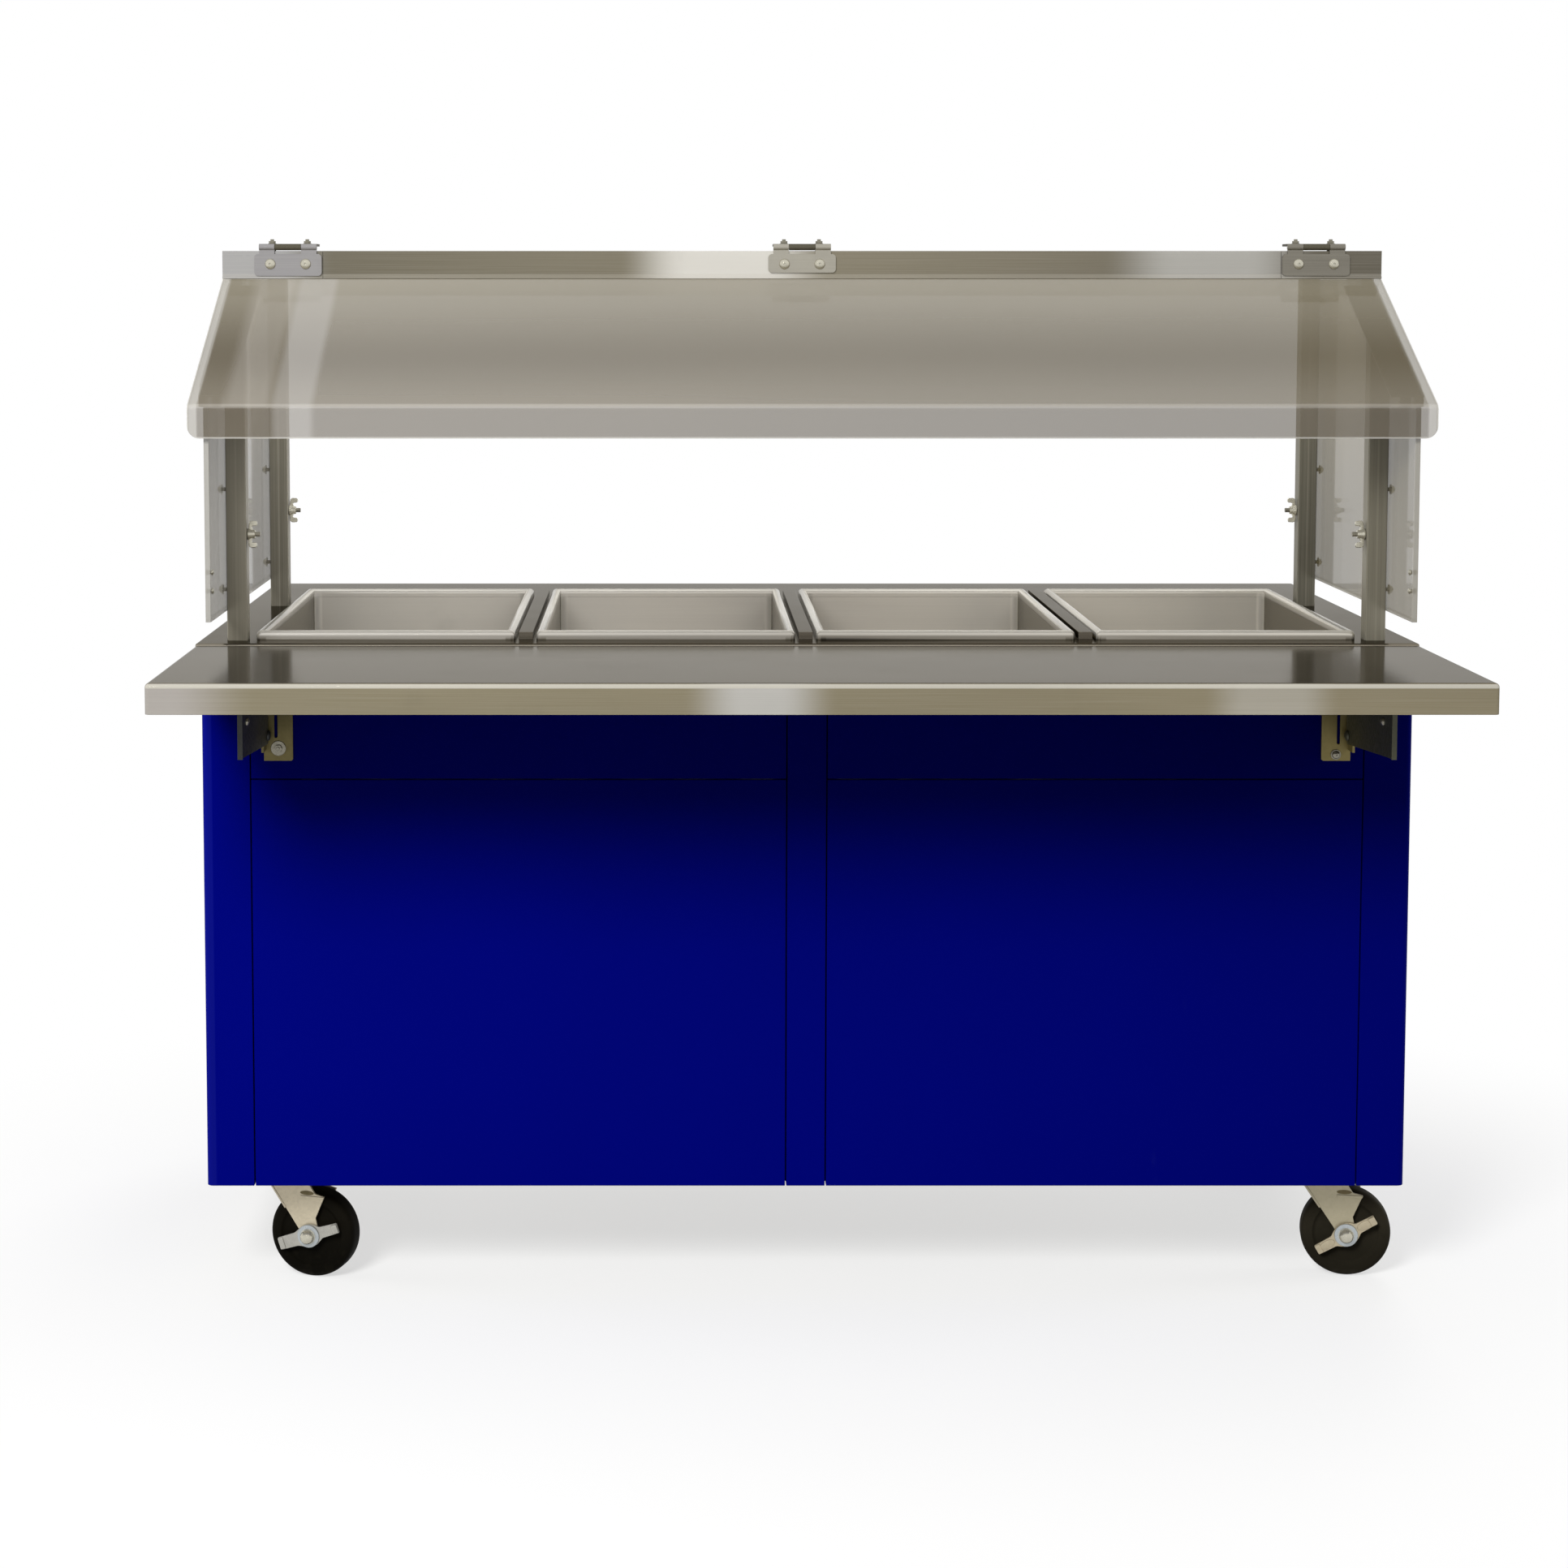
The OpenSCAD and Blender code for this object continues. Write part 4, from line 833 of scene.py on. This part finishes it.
HEM = (0.8, 2, None)
SEAM = (0.9, 2, None)
THIN = (0.5, 2, None)
SOFT = {
    "counter_top": ("sheet_along", [(3, 3, outer_top(*COUNTER_TRAY)),
                                    (1.4, 2, inner_top(*COUNTER_TRAY)), HEM]),
    "front_shelf": ("shelf", [(5, 5, outer_top(*SHELF_TRAY)),
                              (3, 3, inner_top(*SHELF_TRAY)), HEM]),
    "top_pan": ("pan", [(1.6, 2, None)]),
    "front_rail": ("rail", [HEM]),
    "rail_end_caps": ("rail", [HEM]),
    "control_panel": ("sheet_back", [HEM]),
    "base_deck": ("sheet_back", [HEM]),
    "side_panels": ("blue", [HEM]),
    "corner_stiles": ("blue", [(8, 5, stile_corner), HEM]),
    "rear_stiles": ("blue", [(8, 5, stile_corner), HEM]),
    "centre_stile": ("blue", [SEAM]),
    "upper_panels": ("blue", [SEAM]),
    "lower_panels": ("blue", [SEAM]),
    "guard_panel": ("clear", [(5, 4, guard_bend), HEM]),
    "end_panel_left": ("clear_end", [HEM]),
    "end_panel_right": ("clear_end", [HEM]),
    "shelf_arms": ("shelf_arm", [THIN]),
    "shelf_wall_brackets": ("bracket", [(0.6, 2, None)]),
    "hinge_front_leaves": ("leaf", [(0.8, 3, None)]),
    "hinge_top_leaves": ("plate", [THIN]),
    "hinge_pins": ("screw", [(0.4, 1, None)]),
    "guard_posts": ("tube", [(1.4, 3, upright), (0.4, 2, None)]),
    "side_arms": ("arm", [THIN]),
    "arm_bumpers": ("bumper", [(1.6, 3, None)]),
    "strip_heaters": ("plate", [(1.5, 2, None)]),
    "base_rails": ("plate", [(2, 3, None)]),
    "power_switch": ("red", [(1.2, 3, None)]),
    "drain_handle": ("red", [(1.0, 2, None)]),
    "caster_plates": ("zinc", [(0.7, 2, None)]),
    "drain_manifold": ("brass", []),
    "well_1": ("well", []),
    "well_2": ("well", []),
    "well_3": ("well", []),
    "well_4": ("well", []),
}
for name, (key, passes) in SOFT.items():
    softened(name, key, passes)


# Casters. Each has its swivel's x and y, its turn at rest and its brake lever's tilt
CASTERS = [(-670, -110, -16, 19), (670, -110, -9, 31), (-670, 445, 0, 0), (670, 445, 0, 0)]
AXLE_X, AXLE_Z = 38, 57.5
LEG_IN, LEG_OUT = 18.5, 21.5
LEG = [(-30, 143), (27, 143), (40, 121.5), (46, 112.5), (59, 109.5), (46.5, 80.5), (49, 69.5)]
LEG += [
    (AXLE_X + 13 * math.cos(math.radians(a)), AXLE_Z + 13 * math.sin(math.radians(a)))
    for a in range(0, -181, -15)
]
LEG += [(25, 61.5)]
LEG_LIP = [(26, 109.6), (59, 109.3), (57.6, 105.6), (26, 106.2)]
LEG_FOLD = Vector((-27.5, 0, 139)), Vector((5, 0, 91))
CROWN = [
    (6.1, 139), (27.5, 139), (29.2, 139.8), (30, 141.4), (30, 143.4), (28.6, 145), (21, 145),
    (18, 143.6), (12, 143.4), (6.1, 143.4),
]
CAP_NUT = [
    (0, 2), (9.8, 2), (10, 2.5), (9.3, 3.0), (9.2, 5.4), (8.4, 8.2), (6.6, 10.7), (3.9, 12.4),
    (1.4, 12.9), (0, 13.0),
]
HALF_WHEEL = [
    (4.4, 18), (11.6, 18), (13.2, 17.2), (14.6, 14.4), (17, 12.6), (37, 12.2), (39.4, 12.8),
    (41, 14.2), (42.6, 15.6), (44.4, 16), (50.5, 16), (53.6, 15.2), (55.8, 13.2), (57.0, 10.2),
    (57.5, 6.5), (57.5, 2.2),
]


def axle(y, along):
    """A place on the axle."""
    return at(AXLE_X, y, AXLE_Z, along)


def caster_fork(i, place):
    """Crown and two legs, each with a folded edge, a lip over the wheel and a stamped slot painted
    dark as the shade in its hollow.
    """
    fork = Shape(place)
    slots = Shape(place)
    fork.lathe(CROWN, at(), 64, closed=True)
    fork.block((-30, -LEG_OUT, 139), (27, LEG_OUT, 143), at(), 1.5, 3)
    start, end = LEG_FOLD
    edge = end - start
    lean = math.degrees(math.atan2(edge.x, -edge.z))
    for side in (-1, 1):
        leg = at(0, min(side * LEG_IN, side * LEG_OUT), 0, "Y")
        fork.cut(standing(LEG), LEG_OUT - LEG_IN, leg, 0, 0.8)
        fold = at(start.x, side * 20.7, start.z) @ turned(180 - lean, "Y")
        fork.rod(1.7, edge.length, fold, 20, 1.0)
        fork.cut(standing(LEG_LIP), 1.6, at(0, side * 21.9 - 0.8, 0, "Y"), 0, 0.6)
        face = at(35, side * LEG_OUT, 113.2, "-Y" if side < 0 else "Y")
        # the slot's dark finish is painted shade in its hollow
        slots.lathe([(0, 0), (6.4, 0), (6.2, 0.2), (0, 0.24)], face @ oval(1.5, 0.45), 40)
    fork.done(f"fork_{i}", "zinc", body_of[f"caster_fork_{i}"], [f"caster_fork_{i}"])
    slots.done(f"fork_slots_{i}", "slot", body_of[f"caster_fork_{i}"])


def axle_fittings(i, place, brake):
    """Washers, bolt and nuts; a brake has a large washer and a domed nut over it."""
    body = body_of[f"caster_fork_{i}"]
    face = -25.5 if brake else -LEG_OUT
    big = 15 if brake else 10
    ring = Shape(place)
    ring.lathe([(4, 0), (big - 0.8, 0), (big, 0.7), (big - 0.4, 1.4), (big - 3, 2.0), (4, 2.0)],
               axle(face, "-Y"), 56, closed=True)
    ring.washer(10, 4, 1.2, axle(21.6, "Y"))
    ring.done(f"axle_washers_{i}", "washer", body)

    nuts = Shape(place)
    if brake:
        nuts.lathe(CAP_NUT, axle(face, "-Y"), 48)
    else:
        nuts.nut(8, 6, axle(face - 2, "-Y"))
        nuts.rod(4, 3, axle(face - 7.5, "-Y"))
    nuts.nut(8, 4.4, axle(22.6, "Y"))
    nuts.rod(4, 2.4, axle(26.4, "Y"))
    nuts.rod(4, 43.2, axle(22, "-Y"))
    nuts.done(f"axle_nuts_{i}", "dome", body)


def caster_wheel(i, place):
    """Hub, web and tread, turned from one profile."""
    wheel = Shape(place)
    profile = HALF_WHEEL + [(r, -h) for r, h in reversed(HALF_WHEEL)]
    wheel.lathe(profile, axle(0, "Y"), 112, closed=True)
    wheel.done(f"wheel_{i}", "tread", body_of[f"caster_wheel_{i}"], [f"caster_wheel_{i}"], 28)


def brake_lever(i, place, tilt):
    """Plate with a folded tread at each end; the right hand one has two bosses."""
    left = i == 1
    w, r = (8.2, 6.6) if left else (6.6, 6.2)
    outline = [
        (-43, -w), (-18, -w - 0.6), (-12.5, -11), (-7, -14), (0, -15), (7, -14), (12.5, -11),
        (18, -r - 0.8), (43, -r), (43, r), (18, r + 0.8), (12.5, 11), (7, 14), (0, 15),
        (-7, 14), (-12.5, 11), (-18, w + 0.6), (-43, w),
    ]
    lever = Shape(place @ (at(AXLE_X, 0, AXLE_Z) @ turned(-tilt, "Y")))
    lever.cut(standing(outline), 3, at(0, -25, 0, "Y"), 1.6, 0.8)
    lever.block((34.5, -28, -r + 0.5), (43, -24.6, r - 0.5), at(), 1.3, 3)
    lever.block((-43, -26.6, -w + 0.6), (-36, -24.6, w - 0.6), at(), 0.9, 3)
    if not left:
        boss = [(0, 0), (7.5, 0), (7, 0.9), (5, 1.7), (0, 2)]
        for side in (-1, 1):
            lever.lathe(boss, at(side * 27.5, -24.8, 0, "-Y") @ oval(1.45, 0.75), 40)
    key = "pale_lever" if left else "lever"
    lever.done(f"lever_{i}", key, body_of[f"brake_lever_{i}"], [f"brake_lever_{i}"])


for i, (x, y, turn, tilt) in enumerate(CASTERS, 1):
    place = at(x, y) @ turned(turn)
    caster_fork(i, place)
    axle_fittings(i, place, tilt > 0)
    caster_wheel(i, place)
    if tilt:
        brake_lever(i, place, tilt)

heads = Shape()
for x, y, turn, tilt in CASTERS:
    for px in (-38, 38):
        for py in (-20, 20):
            heads.washer(6.2, 3, 1.0, at(x + px, y + py, 152, "-Z"))
            heads.nut(5.0, 3.6, at(x + px, y + py, 151, "-Z"))
heads.done("caster_plate_bolts", "screw", "counter")


# Wing nuts on the posts
EAR = [
    (1.2, 3), (6.4, 3), (6.2, 6), (5.2, 8.6), (5.6, 10.4), (10.2, 10.6), (11.8, 12),
    (12.0, 14.8), (10.8, 16.8), (4.2, 17.2), (1.8, 15.6), (1.0, 11),
]
COLLAR = [
    (3.05, 0), (7.2, 0), (7.4, 1.2), (6.4, 3.4), (5.6, 6.5), (5.3, 9.0), (4.9, 9.6), (3.05, 9.6),
]
for i, (side, y) in enumerate([(side, y) for y in POST_Y for side in (-1, 1)], 1):
    nut = Shape(mirrored(side) @ at(POST_IN - 0.4, y, 970))
    nut.lathe(COLLAR, at(0, 0, 0, "-X"), 40, closed=True)
    for half in (0, 180):
        ear = turned(half - 9, "X") @ turned(90, "X") @ at(0, 0, -2.5)
        nut.cut([(-out, up) for out, up in EAR], 5.0, ear, 0, 1.6)
    nut.done(f"wing_{i}", "dome", body_of[f"wing_nut_{i}"], [f"wing_nut_{i}"])


# Fasteners of the end panels, hinges and shelf; a screw's place is y and z
FRONT, REAR = POST_Y
POST_SCREWS = [(FRONT, 900), (FRONT, 1027), (REAR, 897), (REAR, 1027), (REAR, 1261)]
EDGE_SCREWS = [(-285, 934), (-285, 911)]
screws = Shape()
for side in (-1, 1):
    mirror = mirrored(side)
    for y, z in POST_SCREWS:
        screws.washer(6.6, BOLT_R, 1.0, mirror @ at(END_OUT, y, z, "X"))
        screws.dome(5.3, 4.8, mirror @ at(END_OUT + 0.9, y, z, "X"), 1.6)
        screws.rod(BOLT_R, 8, mirror @ at(END_IN - 1.7, y, z, "X"))
    for y, z in EDGE_SCREWS:
        screws.dome(3.7, 2.2, mirror @ at(END_OUT, y, z, "X"), 1.2)
        screws.dome(3.7, 2.2, mirror @ at(END_IN, y, z, "-X"), 1.2)
        screws.rod(BOLT_R, END_OUT - END_IN, mirror @ at(END_IN, y, z, "X"))
screws.done("end_screws", "dome", "counter", ["end_panel_screws"])

heads = Shape()
bolts = Shape()
for x in (hinge + screw for hinge in HINGES for screw in HINGE_SCREWS):
    heads.dome(7, 4.0, at(x, LEAF_FACE, 1312, "-Y"), 2.0)
    heads.rod(BOLT_R, 9.5, at(x, LEAF_FACE, 1312, "Y"))
    bolts.washer(5.6, 2.4, 0.8, at(x, HINGE_BOLT_Y, 1338.2))
    bolts.nut(4.7, 3.2, at(x, HINGE_BOLT_Y, 1339))
    bolts.rod(BOLT_R, 24, at(x, HINGE_BOLT_Y, 1320.5))
    bolts.nut(4.7, 4.6, at(x, HINGE_BOLT_Y, 1322.2))
heads.done("leaf_screws", "dome", "guard", ["hinge_screws"])
bolts.done("leaf_bolts", "screw", "counter", ["hinge_bolts"])

# The left bracket has nuts on large washers, the right one has screw heads
washer_t = 1.6
bolts = Shape()
for z in (704, 777):
    bolts.washer(9.5, BOLT_R, washer_t, at(-BRACKET_X, BRACKET_FACE, z, "-Y"))
    bolts.nut(5.2, 3.6, at(-BRACKET_X, BRACKET_FACE - washer_t, z, "-Y"))
    bolts.rod(BOLT_R, 7, at(-BRACKET_X, BRACKET_FACE, z, "-Y"))
for z in (696, 777):
    bolts.washer(6.5, BOLT_R, washer_t, at(BRACKET_X, BRACKET_FACE, z, "-Y"))
    bolts.dome(5.2, 3.6, at(BRACKET_X, BRACKET_FACE - washer_t, z, "-Y"), 1.5)
bolts.done("bracket_bolts", "screw", "counter", ["shelf_bracket_bolts"])

pins = Shape()
caps = Shape()
for side in (-1, 1):
    mirror = mirrored(side)
    pins.dome(7, 3.8, mirror @ at(676.1, *PIVOT, "-X"))
    pins.rod(4, 13, mirror @ at(675, *PIVOT, "X"))
    pins.nut(6.6, 3.0, mirror @ at(682.9, *PIVOT, "X"))
    caps.dome(5, 3.6, mirror @ at(676.5, *ARM_BOLT, "-X"), 1.5)
    caps.rod(BOLT_R, 6, mirror @ at(676, *ARM_BOLT, "X"))
    caps.nut(5, 3, mirror @ at(679.5, *ARM_BOLT, "X"))
pins.done("pivot_pins", "shelf_arm", "counter", ["shelf_pivot_pins"])
caps.done("arm_bolts", "screw", "shelf", ["shelf_arm_bolts"])


# Controls, lights and pipe on the rear
KNOB = [
    (0, 0), (18.6, 0), (19, 0.5), (19, 2.0), (18.2, 3.4), (16.6, 5.4), (15.6, 7.4), (14.6, 8.4),
    (0, 8.8),
]
UNDER_BAR = (75, 90, 105)  # no rib where the knob's bar ends
DIAL = 135
marks = Shape()
rings = Shape()
lenses = Shape()
joints = Shape()
for i, x in enumerate(WELL_X, 1):
    body = body_of[f"control_knob_{i}"]
    place = at(x, PANEL_Y + 0.4, KNOB_Z, "Y")
    knob = Shape(place)
    knob.lathe(KNOB, at(), 72)
    knob.block((-4.2, -18, 1), (4.2, 18, 16), at(), 1.8, 4)
    for a in range(0, 360, 15):
        if a % 180 not in UNDER_BAR:
            knob.rod(0.9, 5.4, turned(a) @ at(16.6, 0, 1.6), 10)
    knob.rod(3, 9, at(0, 0, -8.4))
    knob.done(f"knob_{i}", "black", body, [f"control_knob_{i}"])
    line = Shape(place)
    line.block((-0.7, -16.4, 15.6), (0.7, -5, 16.15), at(), 0.1, 1)
    line.done(f"knob_line_{i}", "mark", body)
    for a in range(-DIAL, DIAL + 1, 27):
        wide = 0.9 if a in (-DIAL, 0, DIAL) else 0.5
        spoke = at(x, PANEL_Y, KNOB_Z, "Y") @ turned(a)
        marks.block((-wide, -28, 0), (wide, -23, 0.15), spoke, 0)
    rings.lathe([(5.4, 0), (8.4, 0), (8.6, 0.8), (7.8, 2.2), (6.4, 2.8), (5.4, 2.8)],
                at(x + PILOT_DX, PANEL_Y, KNOB_Z, "Y"), 48, closed=True)
    lenses.rod(5, 8, at(x + PILOT_DX, PANEL_Y - 7.5, KNOB_Z, "Y"))
    lenses.dome(5.3, 5.4, at(x + PILOT_DX, PANEL_Y + 0.2, KNOB_Z, "Y"))
    joints.nut(20.5, 12, at(x, WELL_Y, 654))
marks.done("dial_marks", "mark", "counter")
rings.done("pilot_rings", "dome", "counter")
lenses.done("pilot_lenses", "amber", "counter", ["pilot_lights"])
joints.done("pipe_nuts", "brass", "counter")

GLAND = [
    (5, -12), (10, -12), (10, 0), (10.4, 0.1), (10.4, 8), (9.9, 8.4), (9.8, 13), (9.2, 15.6),
    (7.8, 17.4), (5.8, 18), (5, 17.4),
]
gland = Shape(at(667, PANEL_Y, 722, "Y"))
gland.lathe(GLAND, at(), 56, closed=True)
gland.lathe([(9.6, 0), (14, 0), (14, 6.4), (9.6, 6.4)], at(), 6, 0.8, closed=True)
gland.lathe([(9.6, -8), (15, -8), (15, -2.2), (9.6, -2.2)], at(), 6, 0.8, closed=True)
for a in range(0, 360, 20):
    gland.rod(0.8, 4.4, turned(a) @ at(9.8, 0, 8.8), 8)
gland.done("cord_gland", "black", "counter", ["power_inlet"])


# Floor, light, camera
def studio():
    """Plain soft light, and white wherever the camera, a gloss or clear sheet sees it."""
    world = bpy.data.worlds.new("studio")
    bpy.context.scene.world = world
    world.use_nodes = True
    tree = world.node_tree
    tree.nodes.clear()
    path = tree.nodes.new("ShaderNodeLightPath")
    seen = tree.nodes.new("ShaderNodeMath")
    seen.operation = "MAXIMUM"
    tree.links.new(path.outputs["Is Camera Ray"], seen.inputs[0])
    other = tree.nodes.new("ShaderNodeMath")
    other.operation = "MAXIMUM"
    tree.links.new(path.outputs["Is Glossy Ray"], other.inputs[0])
    tree.links.new(path.outputs["Is Transmission Ray"], other.inputs[1])
    tree.links.new(other.outputs[0], seen.inputs[1])
    light = tree.nodes.new("ShaderNodeBackground")
    light.inputs["Color"].default_value = (1.0, 0.985, 0.96, 1)
    light.inputs["Strength"].default_value = 0.30
    back = tree.nodes.new("ShaderNodeBackground")
    back.inputs["Color"].default_value = (1, 1, 1, 1)
    back.inputs["Strength"].default_value = 1.0
    mix = tree.nodes.new("ShaderNodeMixShader")
    out = tree.nodes.new("ShaderNodeOutputWorld")
    tree.links.new(seen.outputs[0], mix.inputs[0])
    tree.links.new(light.outputs[0], mix.inputs[1])
    tree.links.new(back.outputs[0], mix.inputs[2])
    tree.links.new(mix.outputs[0], out.inputs[0])


def lamp(name, place, aim, size, power, deep=None):
    """A soft lamp, round unless deep is given, that neither camera nor gloss sees."""
    data = bpy.data.lights.new(name, "AREA")
    data.shape = "RECTANGLE" if deep else "DISK"
    data.size = size
    if deep:
        data.size_y = deep
    data.energy = power
    obj = bpy.data.objects.new(name, data)
    bpy.context.scene.collection.objects.link(obj)
    obj.location = place
    obj.visible_glossy = False
    obj.visible_camera = False
    obj.rotation_euler = (Vector(aim) - Vector(place)).to_track_quat("-Z", "Y").to_euler()


def floor():
    """Pale floor that turns white away from the counter and keeps its shadow."""
    bm = bmesh.new()
    bmesh.ops.create_circle(bm, cap_ends=True, segments=96, radius=9.0)
    mesh = bpy.data.meshes.new("floor")
    bm.to_mesh(mesh)
    bm.free()
    obj = bpy.data.objects.new("floor", mesh)
    bpy.context.scene.collection.objects.link(obj)
    made = Finish("pale_floor", Roughness=0.9, Specular_IOR_Level=0.0)
    x = made.axis("X")
    y = made.axis("Y")
    reach = (x * x * 0.6 + y * y) ** 0.5
    path = made.node("ShaderNodeLightPath", {}, out="Is Camera Ray")
    glossy = made.node("ShaderNodeLightPath", {}, out="Is Glossy Ray")
    through = made.node("ShaderNodeLightPath", {}, out="Is Transmission Ray")
    seen = path.most(glossy).most(through)
    glow = made.tree.nodes.new("ShaderNodeEmission")
    glow.inputs["Strength"].default_value = 1.0
    mix = made.tree.nodes.new("ShaderNodeMixShader")
    made.set(Base_Color=made.mix(seen, (0.3, 0.3, 0.295), (0.98, 0.98, 0.97)))
    made.feed(mix.inputs[0], (reach.step(0.6, 1.4) * 0.4 + 0.6) * seen)
    made.tree.links.new(made.surface.outputs[0], mix.inputs[1])
    made.tree.links.new(glow.outputs[0], mix.inputs[2])
    out = made.tree.nodes["Material Output"]
    made.tree.links.new(mix.outputs[0], out.inputs["Surface"])
    mesh.materials.append(made.material)


def camera():
    """The photograph's place and framing; its width, focal length and axis are in pixels."""
    width, focal, axis_x, axis_y = 1932, 3624.9, 824.5, 647.0
    sensor, pitch = 36.0, 0.0799
    data = bpy.data.cameras.new("camera")
    data.sensor_width = sensor
    data.lens = focal / width * sensor
    data.shift_x = (width / 2 - axis_x) / width
    data.shift_y = (axis_y - width / 2) / width
    data.clip_end = 60.0
    obj = bpy.data.objects.new("camera", data)
    bpy.context.scene.collection.objects.link(obj)
    obj.location = (-0.1735, -3.8672, 1.2788)
    obj.rotation_euler = (math.radians(90) - pitch, 0, 0)
    bpy.context.scene.camera = obj


studio()
lamp("key", (-1.6, -3.9, 3.05), (0, -0.2, 0.7), 1.6, 215)
lamp("fill", (3.2, -3.0, 2.4), (0, 0, 0.8), 3.0, 10)
lamp("back", (1.4, 4.2, 2.9), (0, 0.3, 0.7), 2.6, 80)
lamp("under_pan", (0, 0.04, 1.27), (0, 0.24, 0.7), 1.38, 11, 0.12)
for side in (-1, 1):
    lamp("side", (side * 4.2, 0.5, 0.9), (side * 0.7, 0.2, 0.5), 1.6, 45)
floor()
camera()
bpy.context.scene.view_settings.view_transform = "Standard"

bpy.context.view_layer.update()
import json
